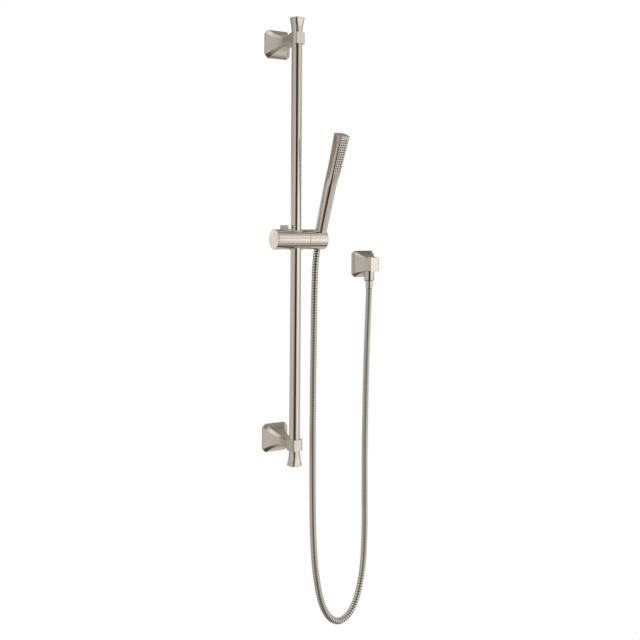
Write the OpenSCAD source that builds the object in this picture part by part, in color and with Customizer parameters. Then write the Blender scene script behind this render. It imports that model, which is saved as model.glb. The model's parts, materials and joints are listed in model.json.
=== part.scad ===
// Slide-bar shower set: two wall brackets, a bar, a slider with a tilting cradle,
// a handset, its hose and the wall outlet elbow.
// Millimetres. The wall is the plane Y = 0, the room is toward -Y and +Z is up.
// The origin is the centre of the lower bracket on the wall.

/* [Bar] */
// Outside diameter of the slide bar
bar_d = 22; // [21:0.5:23.5]
// Wall thickness of the slide bar
bar_wall = 1.5; // [1.2:0.1:2]
// Distance from the wall to the axis of the bar
bar_out = 85.4; // [82:0.2:92]
// Distance between the centres of the two brackets
bracket_spacing = 827.2; // [780:0.2:900]
// Length of the plug fixed in each end of the bar
plug_len = 25; // [18:1:35]

/* [Brackets] */
// Side of the square flange
flange_w = 59; // [57:0.5:64]
// Thickness of the straight rim of a flange
rim_t = 4.7; // [3:0.1:6]
// Corner chamfer of a flange
flange_chamfer = 7; // [5:0.5:9]
// Length over which the flange sweeps in to the neck
sweep_len = 50; // [44:1:56]
// Width of the neck
neck_w = 25.2; // [23:0.2:26]
// Height of the neck
neck_h = 22.4; // [20:0.2:22.6]
// Corner chamfer of the neck
neck_chamfer = 4.5; // [3:0.5:6]
// Thickness of the collar round the bar at its thinnest
collar_wall = 2.25; // [2:0.05:3]
// Height of the collar round the bar
collar_h = 22.9; // [22.8:0.1:28]
// Upright corner chamfer of the collar and of the finial
collar_chamfer = 4.8; // [3:0.2:6]
// Wall thickness of the hollow castings
casting_wall = 3.6; // [3:0.1:5]

/* [Wall plates] */
// Diameter of the wall plate behind each bracket
plate_d = 42; // [38:1:44]
// Thickness of the wall plate
plate_t = 3; // [2:0.5:4]
// Diameter of the post that the bracket slides onto
post_d = 24; // [20:1:24]
// Length of the post from the wall
post_len = 16; // [14:0.5:20]
// Diameter of the two screw holes in a wall plate
screw_hole_d = 4.8; // [4:0.2:5.4]
// Distance between the two screw holes
screw_spacing = 33; // [31.6:0.2:34]
// Thickness of the boss that holds the post
boss_wall = 5; // [4:0.5:6]
// Diameter of the set screw in each bracket
grub_d = 5; // [4:1:6]
// Length of the set screw in each bracket
grub_len = 8; // [6:1:10]

/* [Finials] */
// Length of a finial
finial_len = 31; // [26:0.5:40]
// Length over which a finial flares from round to square
flare_len = 28.5; // [22:0.5:30]
// Width of the ledge with which a finial bears on the collar
finial_ledge = 0.2; // [0.1:0.1:0.6]
// Diameter of the threaded stud of a finial
stud_d = 8; // [6:1:10]
// Length of the threaded stud of a finial
stud_len = 14; // [10:1:16]

/* [Slider] */
// Diameter of the slider and of the cradle
slider_d = 40.8; // [40:0.2:44]
// Height of the slider's axis above the lower bracket
slider_z = 418.3; // [410:0.1:425]
// Distance from the bar's axis to the slider's left end
slider_left = 51.5; // [50.5:0.5:56]
// Distance from the bar's axis to the seam beside the cradle
seam_x = 23.5; // [22.5:0.1:25]
// Width of the seam between slider and cradle
seam_gap = 0.3; // [0.2:0.1:0.4]
// Thickness of the disc that closes the slider's left end
end_cap_t = 2; // [1.5:0.5:2.5]
// Length of the end cap's spigot
spigot_len = 3; // [2:0.5:4]
// Wall round the end cap's spigot
spigot_wall = 3.4; // [2.5:0.1:5]
// Wall thickness of the split sleeve round the bar
sleeve_wall = 1.45; // [1.2:0.05:1.8]
// Height of the split sleeve
sleeve_h = 22; // [18:0.5:22]
// Width of the slit in the sleeve
sleeve_slit = 1.5; // [1:0.5:3]
// Outside diameter of the trim ring round the bar
trim_d = 30; // [29:0.5:31]
// Height by which a trim ring stands proud of the slider
trim_proud = 0.7; // [0.4:0.1:1.2]
// Play between the trim ring and the bar
trim_play = 0.4; // [0.3:0.1:0.6]

/* [Release button] */
// Distance from the bar's axis to the button's axis
button_x = 27; // [26:0.5:28]
// Diameter of the button over its ribs
button_d = 17; // [15:0.5:18]
// Height of the button above the top of the slider
button_proud = 8.4; // [6:0.1:10]
// Number of ribs round the button
button_ribs = 12; // [8:1:20]
// Depth of the hollows between the ribs
rib_depth = 0.8; // [0.4:0.1:1.2]
// Travel of the button
button_travel = 4; // [3:0.5:4.5]
// Travel of the brake shoe for each millimetre of button travel
wedge_slope = 0.3; // [0.2:0.05:0.35]
// Diameter of the brake shoe
shoe_d = 13; // [12:0.5:13.5]
// Length of the brake shoe
shoe_len = 25.4; // [24:0.2:27]

/* [Cradle] */
// Distance from the bar's axis to the cradle's right end
cradle_right = 67; // [66:0.5:70]
// Distance from the bar's axis to the handset's axis
cradle_x = 56; // [55:0.5:57.5]
// Outward lean of the handset, degrees
lean = 20.5; // [10:0.5:30]
// Radius of the cradle's tapered seat at the slider's axis
seat_r = 11.2; // [10.9:0.1:11.4]
// Widening of the seat's radius for each millimetre upward
seat_taper = 0.069; // [0.06:0.001:0.074]
// Play between the tapered nut and its seat
seat_play = 0.08; // [0.03:0.01:0.1]
// Width of the slot that lets the hose out of the cradle
slot_w = 17; // [15:0.5:18]
// Diameter of the pivot bolt
bolt_d = 8; // [6:0.5:8]
// Diameter of the pivot bolt's head
bolt_head_d = 13; // [11:0.5:13.5]
// Thickness of the cradle's wall between slider and bolt head
bolt_wall = 13.7; // [12.5:0.1:14]

/* [Handset] */
// Height of the tapered nut's foot below the slider's axis
nut_foot = 17; // [16.5:0.5:18]
// Height at which the handle starts above the slider's axis
handle_t0 = 15; // [13:0.5:15.5]
// Diameter of the handle at its foot
handle_d = 24.1; // [23.6:0.1:24.2]
// Wall thickness of the handset's shell
shell_wall = 1.7; // [1.4:0.1:2]
// Height at which the spray plate starts above the slider's axis
plate_foot = 148.5; // [140:0.5:160]
// Length of the shell above the spray plate
head_margin = 4.5; // [3.5:0.5:8]
// Half width of the head at its foot
head_half = 11.5; // [11:0.1:12]
// Widening of the head's half width toward its top
head_widen = 1.8; // [1:0.1:3]
// Distance from the handset's axis to the foot of the spray face
head_front = 14.8; // [14:0.1:16]
// Distance from the handset's axis to the back of the head's foot
head_back = 10.2; // [10:0.1:11.5]
// Upright front chamfer of the head
head_chamfer = 3.5; // [2.5:0.1:3.8]
// Outside diameter of the water tube in the handle
tube_d = 13; // [10:0.5:13]
// Wall thickness of the water tube
tube_wall = 1.5; // [1:0.1:2]

/* [Spray face] */
// Columns of nozzles
nozzle_cols = 3; // [1:2:3]
// Rows of nozzles
nozzle_rows = 14; // [6:1:14]
// Distance from the end of the spray plate to the first row
row_margin = 4.3; // [3:0.1:6]
// Distance from the side of the spray plate to the first column
col_margin = 2.9; // [2:0.1:3.5]
// Diameter of the holes in the spray plate
nozzle_hole_d = 2.4; // [2:0.1:2.8]
// Width of the spray plate
plate_w = 15.2; // [14.4:0.2:15.4]
// Length of the spray plate
plate_h = 73; // [70:0.5:74]
// Thickness of the spray plate
plate_depth = 2; // [1.5:0.1:2.5]
// Thickness of the nozzle mat
mat_t = 1.5; // [1:0.1:2]
// Height of a nozzle above the spray plate
nozzle_proud = 0.6; // [0.3:0.1:1]
// Depth of the spray chamber behind the mat
chamber_depth = 17; // [15:0.5:17.5]
// Wall thickness of the spray chamber
chamber_wall = 1.4; // [1:0.1:1.8]

/* [Outlet elbow] */
// Distance from the bar to the elbow, along the wall
elbow_x = 222; // [216:0.5:230]
// Height of the elbow above the lower bracket
elbow_z = 362; // [356:0.5:368]
// Side of the elbow's square flange
elbow_flange_w = 58.5; // [56:0.5:62]
// Width of the elbow's block
block_w = 29.6; // [28:0.2:32]
// Height of the elbow's block
block_h = 31; // [30:0.5:34]
// Distance from the wall to the front of the block
block_front = 49; // [47:0.5:54]
// Upright front chamfer of the block
block_front_chamfer = 4.1; // [3:0.1:5]
// Distance from the wall to the outlet's axis
outlet_out = 27.7; // [27:0.1:30]
// Radius of the wall inlet's thread
inlet_r = 9.3; // [8.5:0.1:10.2]
// Depth of the wall inlet's thread
inlet_len = 15; // [12:0.5:17]
// Radius of the waterway through the elbow
waterway_r = 7; // [5:0.5:7.2]
// Height of the nut's seat below the elbow's centre
nut_seat = 15.5; // [14.5:0.1:16]

/* [Hose fittings] */
// Diameter of the hose nut
hose_nut_d = 23.2; // [22.8:0.1:24]
// Height of the hose nut
hose_nut_h = 21.5; // [20:0.5:23]
// Diameter of the hose
hose_d = 14; // [13:0.5:14.5]
// Diameter of the ferrule under the hose nut
lower_ferrule_d = 16.4; // [15.8:0.1:16.6]
// Length of that ferrule below the nut
lower_ferrule_out = 13; // [11:0.5:15]
// Diameter of the ferrule under the handset
upper_ferrule_d = 16; // [15.6:0.1:16.2]
// Length of the upper ferrule
upper_ferrule_len = 18; // [17.5:0.5:20]
// Thickness of a hose washer
washer_t = 2; // [1.5:0.1:2.4]
// Thickness of the flange on a hose insert
insert_flange_t = 2; // [1.5:0.1:2.5]
// Radius of the bore through a hose insert
insert_bore_r = 4; // [3:0.5:4.5]
// Length of hose end held inside a ferrule
hose_grip = 4; // [3:0.5:6]

/* [Check valve] */
// Outside radius of the valve body
valve_r = 6.9; // [6.5:0.1:7]
// Length of the valve body
valve_len = 15; // [14:0.5:16]
// Thickness of the valve seat
valve_seat_t = 3; // [2.5:0.5:3.5]
// Radius of the hole through the valve seat
valve_port_r = 3.5; // [3:0.1:4]
// Radius of the poppet's head
poppet_r = 4.6; // [4.3:0.1:4.8]
// Thickness of the poppet's head
poppet_t = 2; // [1.5:0.1:2.5]
// Travel of the poppet
poppet_travel = 2; // [1:0.5:2]

/* [Hidden] */
$fn = 72;
eps = 0.01;                     // overshoot of a cut beyond the face it opens
run_fit = 0.05;                 // radial play of a running or sliding fit
play = 0.3;                     // gap between pieces that pass each other
nickel = [0.70, 0.67, 0.62];
nickel_dark = [0.55, 0.52, 0.48];
brass = [0.80, 0.66, 0.36];
steel = [0.62, 0.63, 0.65];
plastic_grey = [0.62, 0.66, 0.68];
plastic_white = [0.90, 0.90, 0.88];
rubber_dark = [0.16, 0.16, 0.17];

// bar and brackets
bar_r = bar_d / 2;
bar_bore_r = bar_r - bar_wall;
collar_w = bar_d + 2 * (run_fit + collar_wall);
bar_bottom = -collar_h / 2;
bar_len = bracket_spacing + collar_h;
core_roof = rim_t + 0.8 * sweep_len;   // depth of the hollow behind a bracket
finial_base_r = bar_r + run_fit + finial_ledge;
stud_clear = 0.05;
grub_out = plate_t + 7;                // distance of the grub screws from the wall

// slider
slider_r = slider_d / 2;
sleeve_r = bar_r + run_fit + sleeve_wall;
slider_bore_r = sleeve_r + run_fit;
trim_base = sleeve_h / 2 + play;
trim_r = trim_d / 2;
saddle_r = slider_r + trim_proud;
body_left = slider_left - end_cap_t;
spigot_r = slider_r - spigot_wall;
shoe_r = shoe_d / 2;
shoe_right = slider_bore_r + run_fit;
shoe_left = shoe_right + shoe_len;
spring_room = body_left - spigot_len - shoe_left;
button_r = button_d / 2;
button_bore_r = button_r + play;
button_top = slider_r + button_proud;
button_base = 11.5 + button_travel;
stem_bottom = shoe_r + 2.5;
stem_w = 5;
wedge_x0 = button_x + 2;               // wedge face at the slider's axis
stem_right = button_x - 4;
cradle_left = seam_x + seam_gap;
pocket_depth = 1.5;
pocket_r = 12;
bolt_start = slider_bore_r + 3.45;
bolt_floor = cradle_left + bolt_wall;
spring_washer_t = 1;
bolt_head_h = 5;
bolt_head_x = bolt_floor + run_fit + spring_washer_t;

// handset, heights measured along its own axis from the slider's axis
thread_r = 10.35;
nut_thread_r = thread_r + run_fit;
tail_foot = 3;
tail_top = 35;
tail_bore_r = 5;
regulator_r = 6;
regulator_h = 6;
flange_top = tail_foot - washer_t - run_fit;
flange_bottom = flange_top - insert_flange_t;
lip_top = flange_bottom - run_fit;
upper_flange_r = 9.2;
ferrule_foot = flange_bottom - upper_ferrule_len;
hose_start = ferrule_foot + hose_grip;
face_tilt = 2.9;                       // lean of the spray face from the handset's axis
face_t = plate_foot + plate_h / 2;     // middle of the spray face
face_n = front_at(face_t);             // its distance in front of the axis
handset_top = plate_foot + plate_h + head_margin;
square_t0 = plate_foot + 1.5;          // height at which the head is fully square
round_t1 = square_t0 - 35;             // height at which the handle stops being round
row_pitch = (plate_h - 2 * row_margin) / max(1, nozzle_rows - 1);
col_pitch = (plate_w - 2 * col_margin) / max(1, nozzle_cols - 1);
tube_end = plate_foot + 1.5;

// outlet elbow
elbow_core_roof = 26;
gasket_r = 15;
gasket_w = 3.5;
gasket_t = 2.5;
nipple_r = 9.2;
nipple_top = elbow_z - 4;
nut_top = elbow_z - nut_seat;
nut_bottom = nut_top - hose_nut_h;
nut_lip = 5;
coupling_r = 10.3;
insert_top = nut_bottom + nut_lip + insert_flange_t;
nipple_bottom = insert_top + washer_t;
lower_flange_r = 10.2;
valve_bottom = nipple_bottom + 2.5;
valve_top = valve_bottom + valve_len;
seat_z = valve_top - valve_seat_t;
hub_h = 2.5;
poppet_stem_r = 1.2;
poppet_gap = 0.2;

// the hose's route, points chosen by hand, from the handset down, round the loop and up to the elbow
hose_end_z = nut_bottom - lower_ferrule_out + hose_grip;
route_fixed = [
    [56, -71, 365], [56.3, -68.5, 335], [56, -67.5, 300], [55.5, -67.5, 250], [55, -67.5, 190],
    [54.3, -67.6, 125], [54, -67.8, 60], [54, -67.8, 0], [54.2, -67.8, -65], [55, -67.6, -125],
    [57, -67, -190], [61.5, -66, -250], [69, -64.2, -298], [80, -61.6, -340], [94, -58.2, -369],
    [111, -54.2, -389], [131, -49.5, -400], [151, -44.8, -400], [170, -40.2, -390.5],
    [186, -36.4, -371], [200, -33, -335], [209, -30.8, -290], [212.5, -30, -225],
    [212.3, -30, -160], [211.5, -30.2, -92], [211.5, -30.2, -26], [212.7, -29.9, 40],
    [214, -29.6, 106], [216, -29.2, 172], [219, -28.5, 238], [221.4, -27.8, 285]
];
route = concat([for (t = [0, 6, 12]) axis_point(hose_start - t)], route_fixed,
    [for (z = [14, 7, 0]) [elbow_x, -outlet_out, hose_end_z - z]]);
hose_sides = 12;
hose_steps = 2;                        // rings between two points of the route

// ---------- shared shapes ----------

// radius of the cradle's tapered seat at height t
function seat_radius(t) = seat_r + seat_taper * t;

// point of the handset's axis at height t, in the object's frame
function axis_point(t) = [cradle_x, -bar_out - t * sin(lean), slider_z + t * cos(lean)];

// eight corners of a chamfered rectangle, anticlockwise; c0 chamfers the low side and c1 the high side
function corners(hx, y0, y1, c0, c1) = [
    [hx, y0 + c0], [hx, y1 - c1], [hx - c1, y1], [c1 - hx, y1],
    [-hx, y1 - c1], [-hx, y0 + c0], [c0 - hx, y0], [hx - c0, y0]];

// the same outline with n points an edge, blended toward a circle of radius r: m 0 is the circle
function blended(hx, y0, y1, c0, c1, r, m, n) = let (v = corners(hx, y0, y1, c0, c1))
    [for (e = [0:7]) for (k = [0:n - 1])
        let (p = v[e] + (v[(e + 1) % 8] - v[e]) * k / n) p * m + r * p / norm(p) * (1 - m)];

// solid through outlines at rising heights, sections = [[height, outline], ...]; each cap is a fan
module loft(sections) {
    n = len(sections[0][1]);
    last = len(sections) - 1;
    foot = (last + 1) * n;
    function middle(s) = let (p = s[1]) [(p[0][0] + p[n / 2][0]) / 2, (p[0][1] + p[n / 2][1]) / 2, s[0]];
    polyhedron(
        points = concat([for (s = sections) for (p = s[1]) [p[0], p[1], s[0]]],
            [middle(sections[0]), middle(sections[last])]),
        faces = concat(
            [for (j = [0:n - 1]) [foot, j, (j + 1) % n]],
            [for (i = [0:last - 1]) for (j = [0:n - 1])
                [i * n + j, (i + 1) * n + j, (i + 1) * n + (j + 1) % n]],
            [for (i = [0:last - 1]) for (j = [0:n - 1])
                [i * n + j, (i + 1) * n + (j + 1) % n, i * n + (j + 1) % n]],
            [for (j = [0:n - 1]) [foot + 1, last * n + (j + 1) % n, last * n + j]]),
        convexity = 6);
}

// tube with flat ends swept along points, ref is a direction that the path never takes
module swept(points, r, sides, ref) {
    last = len(points) - 1;
    function dir(i) = let (d = points[min(last, i + 1)] - points[max(0, i - 1)]) d / norm(d);
    function side_a(i) = let (c = cross(ref, dir(i))) c / norm(c);
    rings = [for (i = [0:last]) let (a = side_a(i), b = cross(dir(i), a))
        for (k = [0:sides - 1]) points[i] + r * (a * cos(360 * k / sides) + b * sin(360 * k / sides))];
    polyhedron(
        points = rings,
        faces = concat(
            [[for (k = [0:sides - 1]) k]],
            [for (i = [0:last - 1]) for (k = [0:sides - 1])
                [i * sides + k, (i + 1) * sides + k, (i + 1) * sides + (k + 1) % sides]],
            [for (i = [0:last - 1]) for (k = [0:sides - 1])
                [i * sides + k, (i + 1) * sides + (k + 1) % sides, i * sides + (k + 1) % sides]],
            [[for (k = [sides - 1:-1:0]) last * sides + k]]),
        convexity = 10);
}

// smooth curve through hand-chosen points, steps rings to each stretch
function curve(p, steps) = let (n = len(p) - 1) concat(
    [for (i = [0:n - 1]) for (k = [0:steps - 1]) let (u = k / steps,
        a = p[max(0, i - 1)], b = p[i], c = p[i + 1], d = p[min(n, i + 2)])
        b + u * (c - a) / 2 + u * u * (a - 2.5 * b + 2 * c - d / 2)
          + u * u * u * (1.5 * b - 1.5 * c + (d - a) / 2)],
    [p[n]]);

// coil spring standing on Z = 0 with its wire inside the height h
module coil(r, wire, h, turns) {
    steps = 12;
    swept([for (i = [0:turns * steps]) let (a = 360 * i / steps)
        [r * cos(a), r * sin(a), wire / 2 + (h - wire) * i / (turns * steps)]], wire / 2, 8, [0, 0, 1]);
}

module tube(r, bore, h) {
    difference() {
        cylinder(r = r, h = h);
        translate([0, 0, -eps]) cylinder(r = bore, h = h + 2 * eps);
    }
}

// local Z becomes the way out from the wall
module outward() { rotate([90, 0, 0]) children(); }

// slider's centre on the bar
module at_slider() { translate([0, -bar_out, slider_z]) children(); }

// lays local Z along +X from the slider's centre, starting at x
module along_x(x) { at_slider() translate([x, 0, 0]) rotate([0, 90, 0]) children(); }

// frame of the handset: Z along its axis from the slider's axis, -Y toward the spray
module on_handset() { at_slider() translate([cradle_x, 0, 0]) rotate([lean, 0, 0]) children(); }

// frame of the spray face: Y = 0 is the face, +Y goes into the head
module on_face() { on_handset() translate([0, -face_n, face_t]) rotate([face_tilt, 0, 0]) children(); }

// share of the flare that is left at depth d
function sweep_left(d, reach) = pow(1 - min(1, max(0, (d - rim_t) / reach)), 2.4);

// solid that sweeps from a square flange at the wall in to a rectangular neck
module flare(flange, hx, hz, reach, c0, c1, depths, inset) {
    loft([for (d = depths) let (s = sweep_left(d, reach), c = c1 + (c0 - c1) * s,
            x = hx + (flange / 2 - hx) * s - inset, z = hz + (flange / 2 - hz) * s - inset)
        [d, corners(x, -z, z, max(0.5, c - inset / 2), max(0.5, c - inset / 2))]]);
}

function depth_steps(reach, end) = concat([0, rim_t], [for (i = [1:10]) rim_t + reach * i / 10],
    end > rim_t + reach ? [end] : []);

// hollow behind a casting, up to the depth roof
module casting_core(flange, hx, hz, reach, c0, c1, roof) {
    flare(flange, hx, hz, reach, c0, c1,
        concat([-1, rim_t], [for (i = [1:6]) rim_t + (roof - rim_t) * i / 6]), casting_wall);
}

// ---------- bar and brackets ----------

module bracket() {
    neck_end = bar_out - collar_w / 2 + collar_wall / 2;
    color(nickel) difference() {
        union() {
            outward() difference() {
                flare(flange_w, neck_w / 2, neck_h / 2, sweep_len, flange_chamfer, neck_chamfer,
                    depth_steps(sweep_len, neck_end), 0);
                difference() {
                    casting_core(flange_w, neck_w / 2, neck_h / 2, sweep_len,
                        flange_chamfer, neck_chamfer, core_roof);
                    translate([0, 0, plate_t]) cylinder(d = post_d + 2 * boss_wall, h = core_roof);
                }
                translate([0, 0, -eps]) cylinder(d = post_d + 2 * run_fit, h = post_len + eps);
            }
            translate([0, -bar_out, -collar_h / 2]) linear_extrude(collar_h)
                polygon(corners(collar_w / 2, -collar_w / 2, collar_w / 2, collar_chamfer, collar_chamfer));
        }
        translate([0, -bar_out, -collar_h]) cylinder(r = bar_r + run_fit, h = 2 * collar_h);
        translate([0, -grub_out, 0]) rotate([0, 90, 0])
            cylinder(d = grub_d + 2 * run_fit, h = flange_w / 2);
    }
}

module wall_plate() {
    color(steel) outward() difference() {
        union() {
            cylinder(d = plate_d, h = plate_t);
            cylinder(d = post_d, h = post_len);
        }
        for (s = [-1, 1]) translate([0, s * screw_spacing / 2, -eps])
            cylinder(d = screw_hole_d, h = plate_t + 2 * eps);
    }
}

module upper_bracket() { translate([0, 0, bracket_spacing]) bracket(); }
module lower_bracket() { bracket(); }
module upper_wall_plate() { translate([0, 0, bracket_spacing]) wall_plate(); }
module lower_wall_plate() { wall_plate(); }

module bracket_set_screws() {
    color(steel) for (z = [0, bracket_spacing])
        translate([post_d / 2, -grub_out, z]) rotate([0, 90, 0]) difference() {
            cylinder(d = grub_d, h = grub_len);
            translate([0, 0, grub_len - 3]) cylinder(d = grub_d / 2, h = 3 + eps, $fn = 6);
        }
}

module slide_bar() {
    color(nickel) translate([0, -bar_out, bar_bottom]) tube(bar_r, bar_bore_r, bar_len);
}

module bar_plug() {
    color(brass) tube(bar_bore_r - eps, stud_d / 2 + stud_clear, plug_len);
}
module upper_bar_plug() { translate([0, -bar_out, bar_bottom + bar_len - plug_len]) bar_plug(); }
module lower_bar_plug() { translate([0, -bar_out, bar_bottom]) bar_plug(); }

// finial standing on Z = 0 with its stud below
module finial() {
    bevel = 0.6;
    h = collar_w / 2;
    color(nickel) {
        loft(concat(
            [for (i = [0:12]) let (t = flare_len * i / 12)
                [t, blended(h, -h, h, collar_chamfer, collar_chamfer, finial_base_r,
                    pow(i / 12, 1.9), 4)]],
            [[finial_len - bevel, blended(h, -h, h, collar_chamfer, collar_chamfer, finial_base_r, 1, 4)],
             [finial_len, blended(h - bevel, bevel - h, h - bevel, collar_chamfer, collar_chamfer,
                 finial_base_r, 1, 4)]]));
        translate([0, 0, -stud_len]) cylinder(d = stud_d, h = stud_len + 1);
    }
}
module upper_finial() { translate([0, -bar_out, bar_bottom + bar_len]) finial(); }
module lower_finial() { translate([0, -bar_out, bar_bottom]) mirror([0, 0, 1]) finial(); }

// ---------- slider ----------

module friction_sleeve() {
    color(plastic_white) at_slider() translate([0, 0, -sleeve_h / 2]) difference() {
        tube(sleeve_r, bar_r + run_fit, sleeve_h);
        translate([-sleeve_slit / 2, 0, -eps]) cube([sleeve_slit, sleeve_r + 1, sleeve_h + 2 * eps]);
    }
}

module slider_body() {
    stem_room_left = wedge_x0 + wedge_slope * button_base + play;
    color(nickel) difference() {
        along_x(-body_left) cylinder(r = slider_r, h = body_left + seam_x);
        at_slider() {
            // sleeve's bore and the counterbores of the trim rings
            translate([0, 0, -slider_d]) cylinder(r = slider_bore_r, h = 2 * slider_d);
            for (s = [0, 1]) mirror([0, 0, s]) translate([0, 0, trim_base])
                cylinder(r = trim_r + run_fit, h = slider_d);
            // button's bore and the room below it for the stem
            translate([-button_x, 0, button_base - button_travel])
                cylinder(r = button_bore_r, h = slider_d);
            translate([-stem_room_left, -stem_w / 2 - play, -stem_bottom - button_travel - play])
                cube([stem_room_left - stem_right + play, stem_w + 2 * play, slider_r + stem_bottom]);
        }
        // brake shoe's guide, end cap's seat, washer's pocket and the bolt's thread
        along_x(-body_left + 1) cylinder(r = shoe_r + run_fit, h = body_left - 1);
        along_x(-body_left - eps) cylinder(r = spigot_r + run_fit, h = spigot_len + eps);
        along_x(seam_x - pocket_depth) cylinder(r = pocket_r + run_fit, h = pocket_depth + 1);
        along_x(bolt_start) cylinder(r = bolt_d / 2 + stud_clear, h = seam_x);
    }
}

// ring round the bar that follows the slider's curved top
module trim_ring() {
    color(plastic_grey) intersection() {
        translate([0, 0, trim_base]) tube(trim_r, bar_r + trim_play, slider_d);
        translate([-trim_d, 0, 0]) rotate([0, 90, 0]) cylinder(r = saddle_r, h = 2 * trim_d);
    }
}
module upper_trim_ring() { at_slider() trim_ring(); }
module lower_trim_ring() { at_slider() mirror([0, 0, 1]) trim_ring(); }

module slider_end_cap() {
    bevel = 0.6;
    color(nickel) along_x(-slider_left) {
        rotate_extrude() polygon([[0, 0], [slider_r - bevel, 0], [slider_r, bevel],
            [slider_r, end_cap_t], [0, end_cap_t]]);
        cylinder(r = spigot_r, h = end_cap_t + spigot_len);
    }
}

module friction_washer() {
    color(rubber_dark) along_x(seam_x - pocket_depth)
        tube(pocket_r, bolt_d / 2 + play, pocket_depth + seam_gap - run_fit);
}

module pivot_bolt() {
    color(steel) {
        along_x(bolt_start) cylinder(d = bolt_d, h = bolt_head_x - bolt_start + 1);
        along_x(bolt_head_x) difference() {
            cylinder(d = bolt_head_d, h = bolt_head_h);
            translate([0, 0, bolt_head_h - 3]) cylinder(d = bolt_d * 0.75, h = 4, $fn = 6);
        }
    }
}

module spring_washer() {
    color(steel) along_x(bolt_floor + run_fit)
        tube(bolt_head_d / 2 - play, bolt_d / 2 + play / 2, spring_washer_t);
}

// ---------- release button and brake ----------

module brake_shoe() {
    room = wedge_slope * button_travel + play;
    high = shoe_r + 1;
    color(plastic_white) difference() {
        along_x(-shoe_left) cylinder(r = shoe_r, h = shoe_left);
        at_slider() {
            translate([0, 0, -shoe_d]) cylinder(r = slider_bore_r + run_fit, h = 2 * shoe_d);
            // window for the button's wedge, its left wall has the wedge's slope
            translate([0, stem_w / 2 + play, 0]) rotate([90, 0, 0]) linear_extrude(stem_w + 2 * play)
                polygon([[room - stem_right, -high], [room - stem_right, high],
                    [-wedge_x0 - play - wedge_slope * high, high],
                    [-wedge_x0 - play + wedge_slope * high, -high]]);
        }
    }
}

module shoe_spring() {
    color(steel) along_x(-shoe_left - spring_room) coil(shoe_r - 1.5, 1.2, spring_room, 4);
}

module release_button() {
    bevel = 0.8;
    cap_h = button_top - button_base;
    outline = [for (a = [0:4:356]) let (r = button_r - rib_depth / 2 * (1 - cos(button_ribs * a)))
        [r * cos(a), r * sin(a)]];
    color(plastic_grey) at_slider() {
        translate([-button_x, 0, button_base]) intersection() {
            linear_extrude(cap_h) polygon(outline);
            rotate_extrude() polygon([[0, 0], [button_r, 0], [button_r, cap_h - bevel],
                [button_r - bevel, cap_h], [0, cap_h]]);
        }
        translate([0, stem_w / 2, 0]) rotate([90, 0, 0]) linear_extrude(stem_w)
            polygon([[-stem_right, -stem_bottom], [-stem_right, button_base + 1],
                [-wedge_x0 - wedge_slope * (button_base + 1), button_base + 1],
                [-wedge_x0 + wedge_slope * stem_bottom, -stem_bottom]]);
    }
}

// ---------- cradle ----------

module cradle() {
    bevel = 0.6;
    cut = slider_r + 1;
    color(nickel) difference() {
        along_x(cradle_left) rotate_extrude() polygon([[0, 0], [slider_r, 0],
            [slider_r, cradle_right - cradle_left - bevel], [slider_r - bevel, cradle_right - cradle_left],
            [0, cradle_right - cradle_left]]);
        on_handset() {
            translate([0, 0, -cut]) cylinder(r1 = seat_radius(-cut), r2 = seat_radius(cut), h = 2 * cut);
            translate([0, -slot_w / 2, -cut]) cube([cradle_right, slot_w, 2 * cut]);
        }
        along_x(cradle_left - eps) cylinder(r = bolt_d / 2 + run_fit, h = bolt_wall + 1);
        along_x(bolt_floor) cylinder(r = bolt_head_d / 2 + play, h = cradle_x - bolt_floor);
    }
}

// ---------- handset ----------

module cone_nut() {
    foot = -nut_foot;
    color(nickel) on_handset() difference() {
        translate([0, 0, foot]) cylinder(r1 = seat_radius(foot) - seat_play,
            r2 = seat_radius(handle_t0) - seat_play, h = handle_t0 - foot);
        translate([0, 0, foot - 1]) cylinder(r = upper_ferrule_d / 2 + 2 * run_fit, h = nut_foot);
        translate([0, 0, lip_top]) cylinder(r = upper_flange_r + run_fit, h = handle_t0);
        translate([0, 0, tail_foot - 1]) cylinder(r = nut_thread_r, h = handle_t0);
    }
}

// distance of the spray face's plane from the handset's axis at height t
function front_at(t) = head_front + (t - plate_foot) * tan(face_tilt);

// outline of the head at height t, inset from the surface; m is its share of the square form
function head_outline(t, m, inset) = let (
        s = max(0, t - square_t0) / (handset_top - square_t0),
        c = head_chamfer + 0.7 * s * s - inset / 2, r = handle_d / 2 + 0.7 * min(1, t / round_t1))
    blended(head_half + head_widen * pow(s, 1.6) - inset, -front_at(t) + inset,
        head_back - 1.5 * s - inset, c, head_back / 2 - inset / 2, r - inset, m, 4);

// shell's outline as a solid from height foot to top
module head_loft(inset, foot, top) {
    turn = square_t0 - round_t1;
    loft(concat(
        [for (i = [0:3]) let (t = foot + (round_t1 - foot) * i / 3) [t, head_outline(t, 0, inset)]],
        [for (i = [1:6]) let (t = round_t1 + turn * i / 6, u = i / 6)
            [t, head_outline(t, u * u * (3 - 2 * u), inset)]],
        [for (i = [1:4]) let (t = square_t0 + (top - square_t0) * i / 4) [t, head_outline(t, 1, inset)]]));
}

module handset_shell() {
    bore_top = round_t1 - 15;
    color(nickel) difference() {
        on_handset() head_loft(0, handle_t0, handset_top);
        on_handset() {
            head_loft(shell_wall + 0.3, bore_top, handset_top - shell_wall);
            translate([0, 0, handle_t0 - 1]) cylinder(r = nut_thread_r, h = bore_top + 2 - handle_t0);
        }
        // opening that the spray plate and its chamber fill
        on_face() translate([-plate_w / 2 - run_fit, -1, -plate_h / 2 - run_fit])
            cube([plate_w + 2 * run_fit, 9, plate_h + 2 * run_fit]);
    }
}

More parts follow.
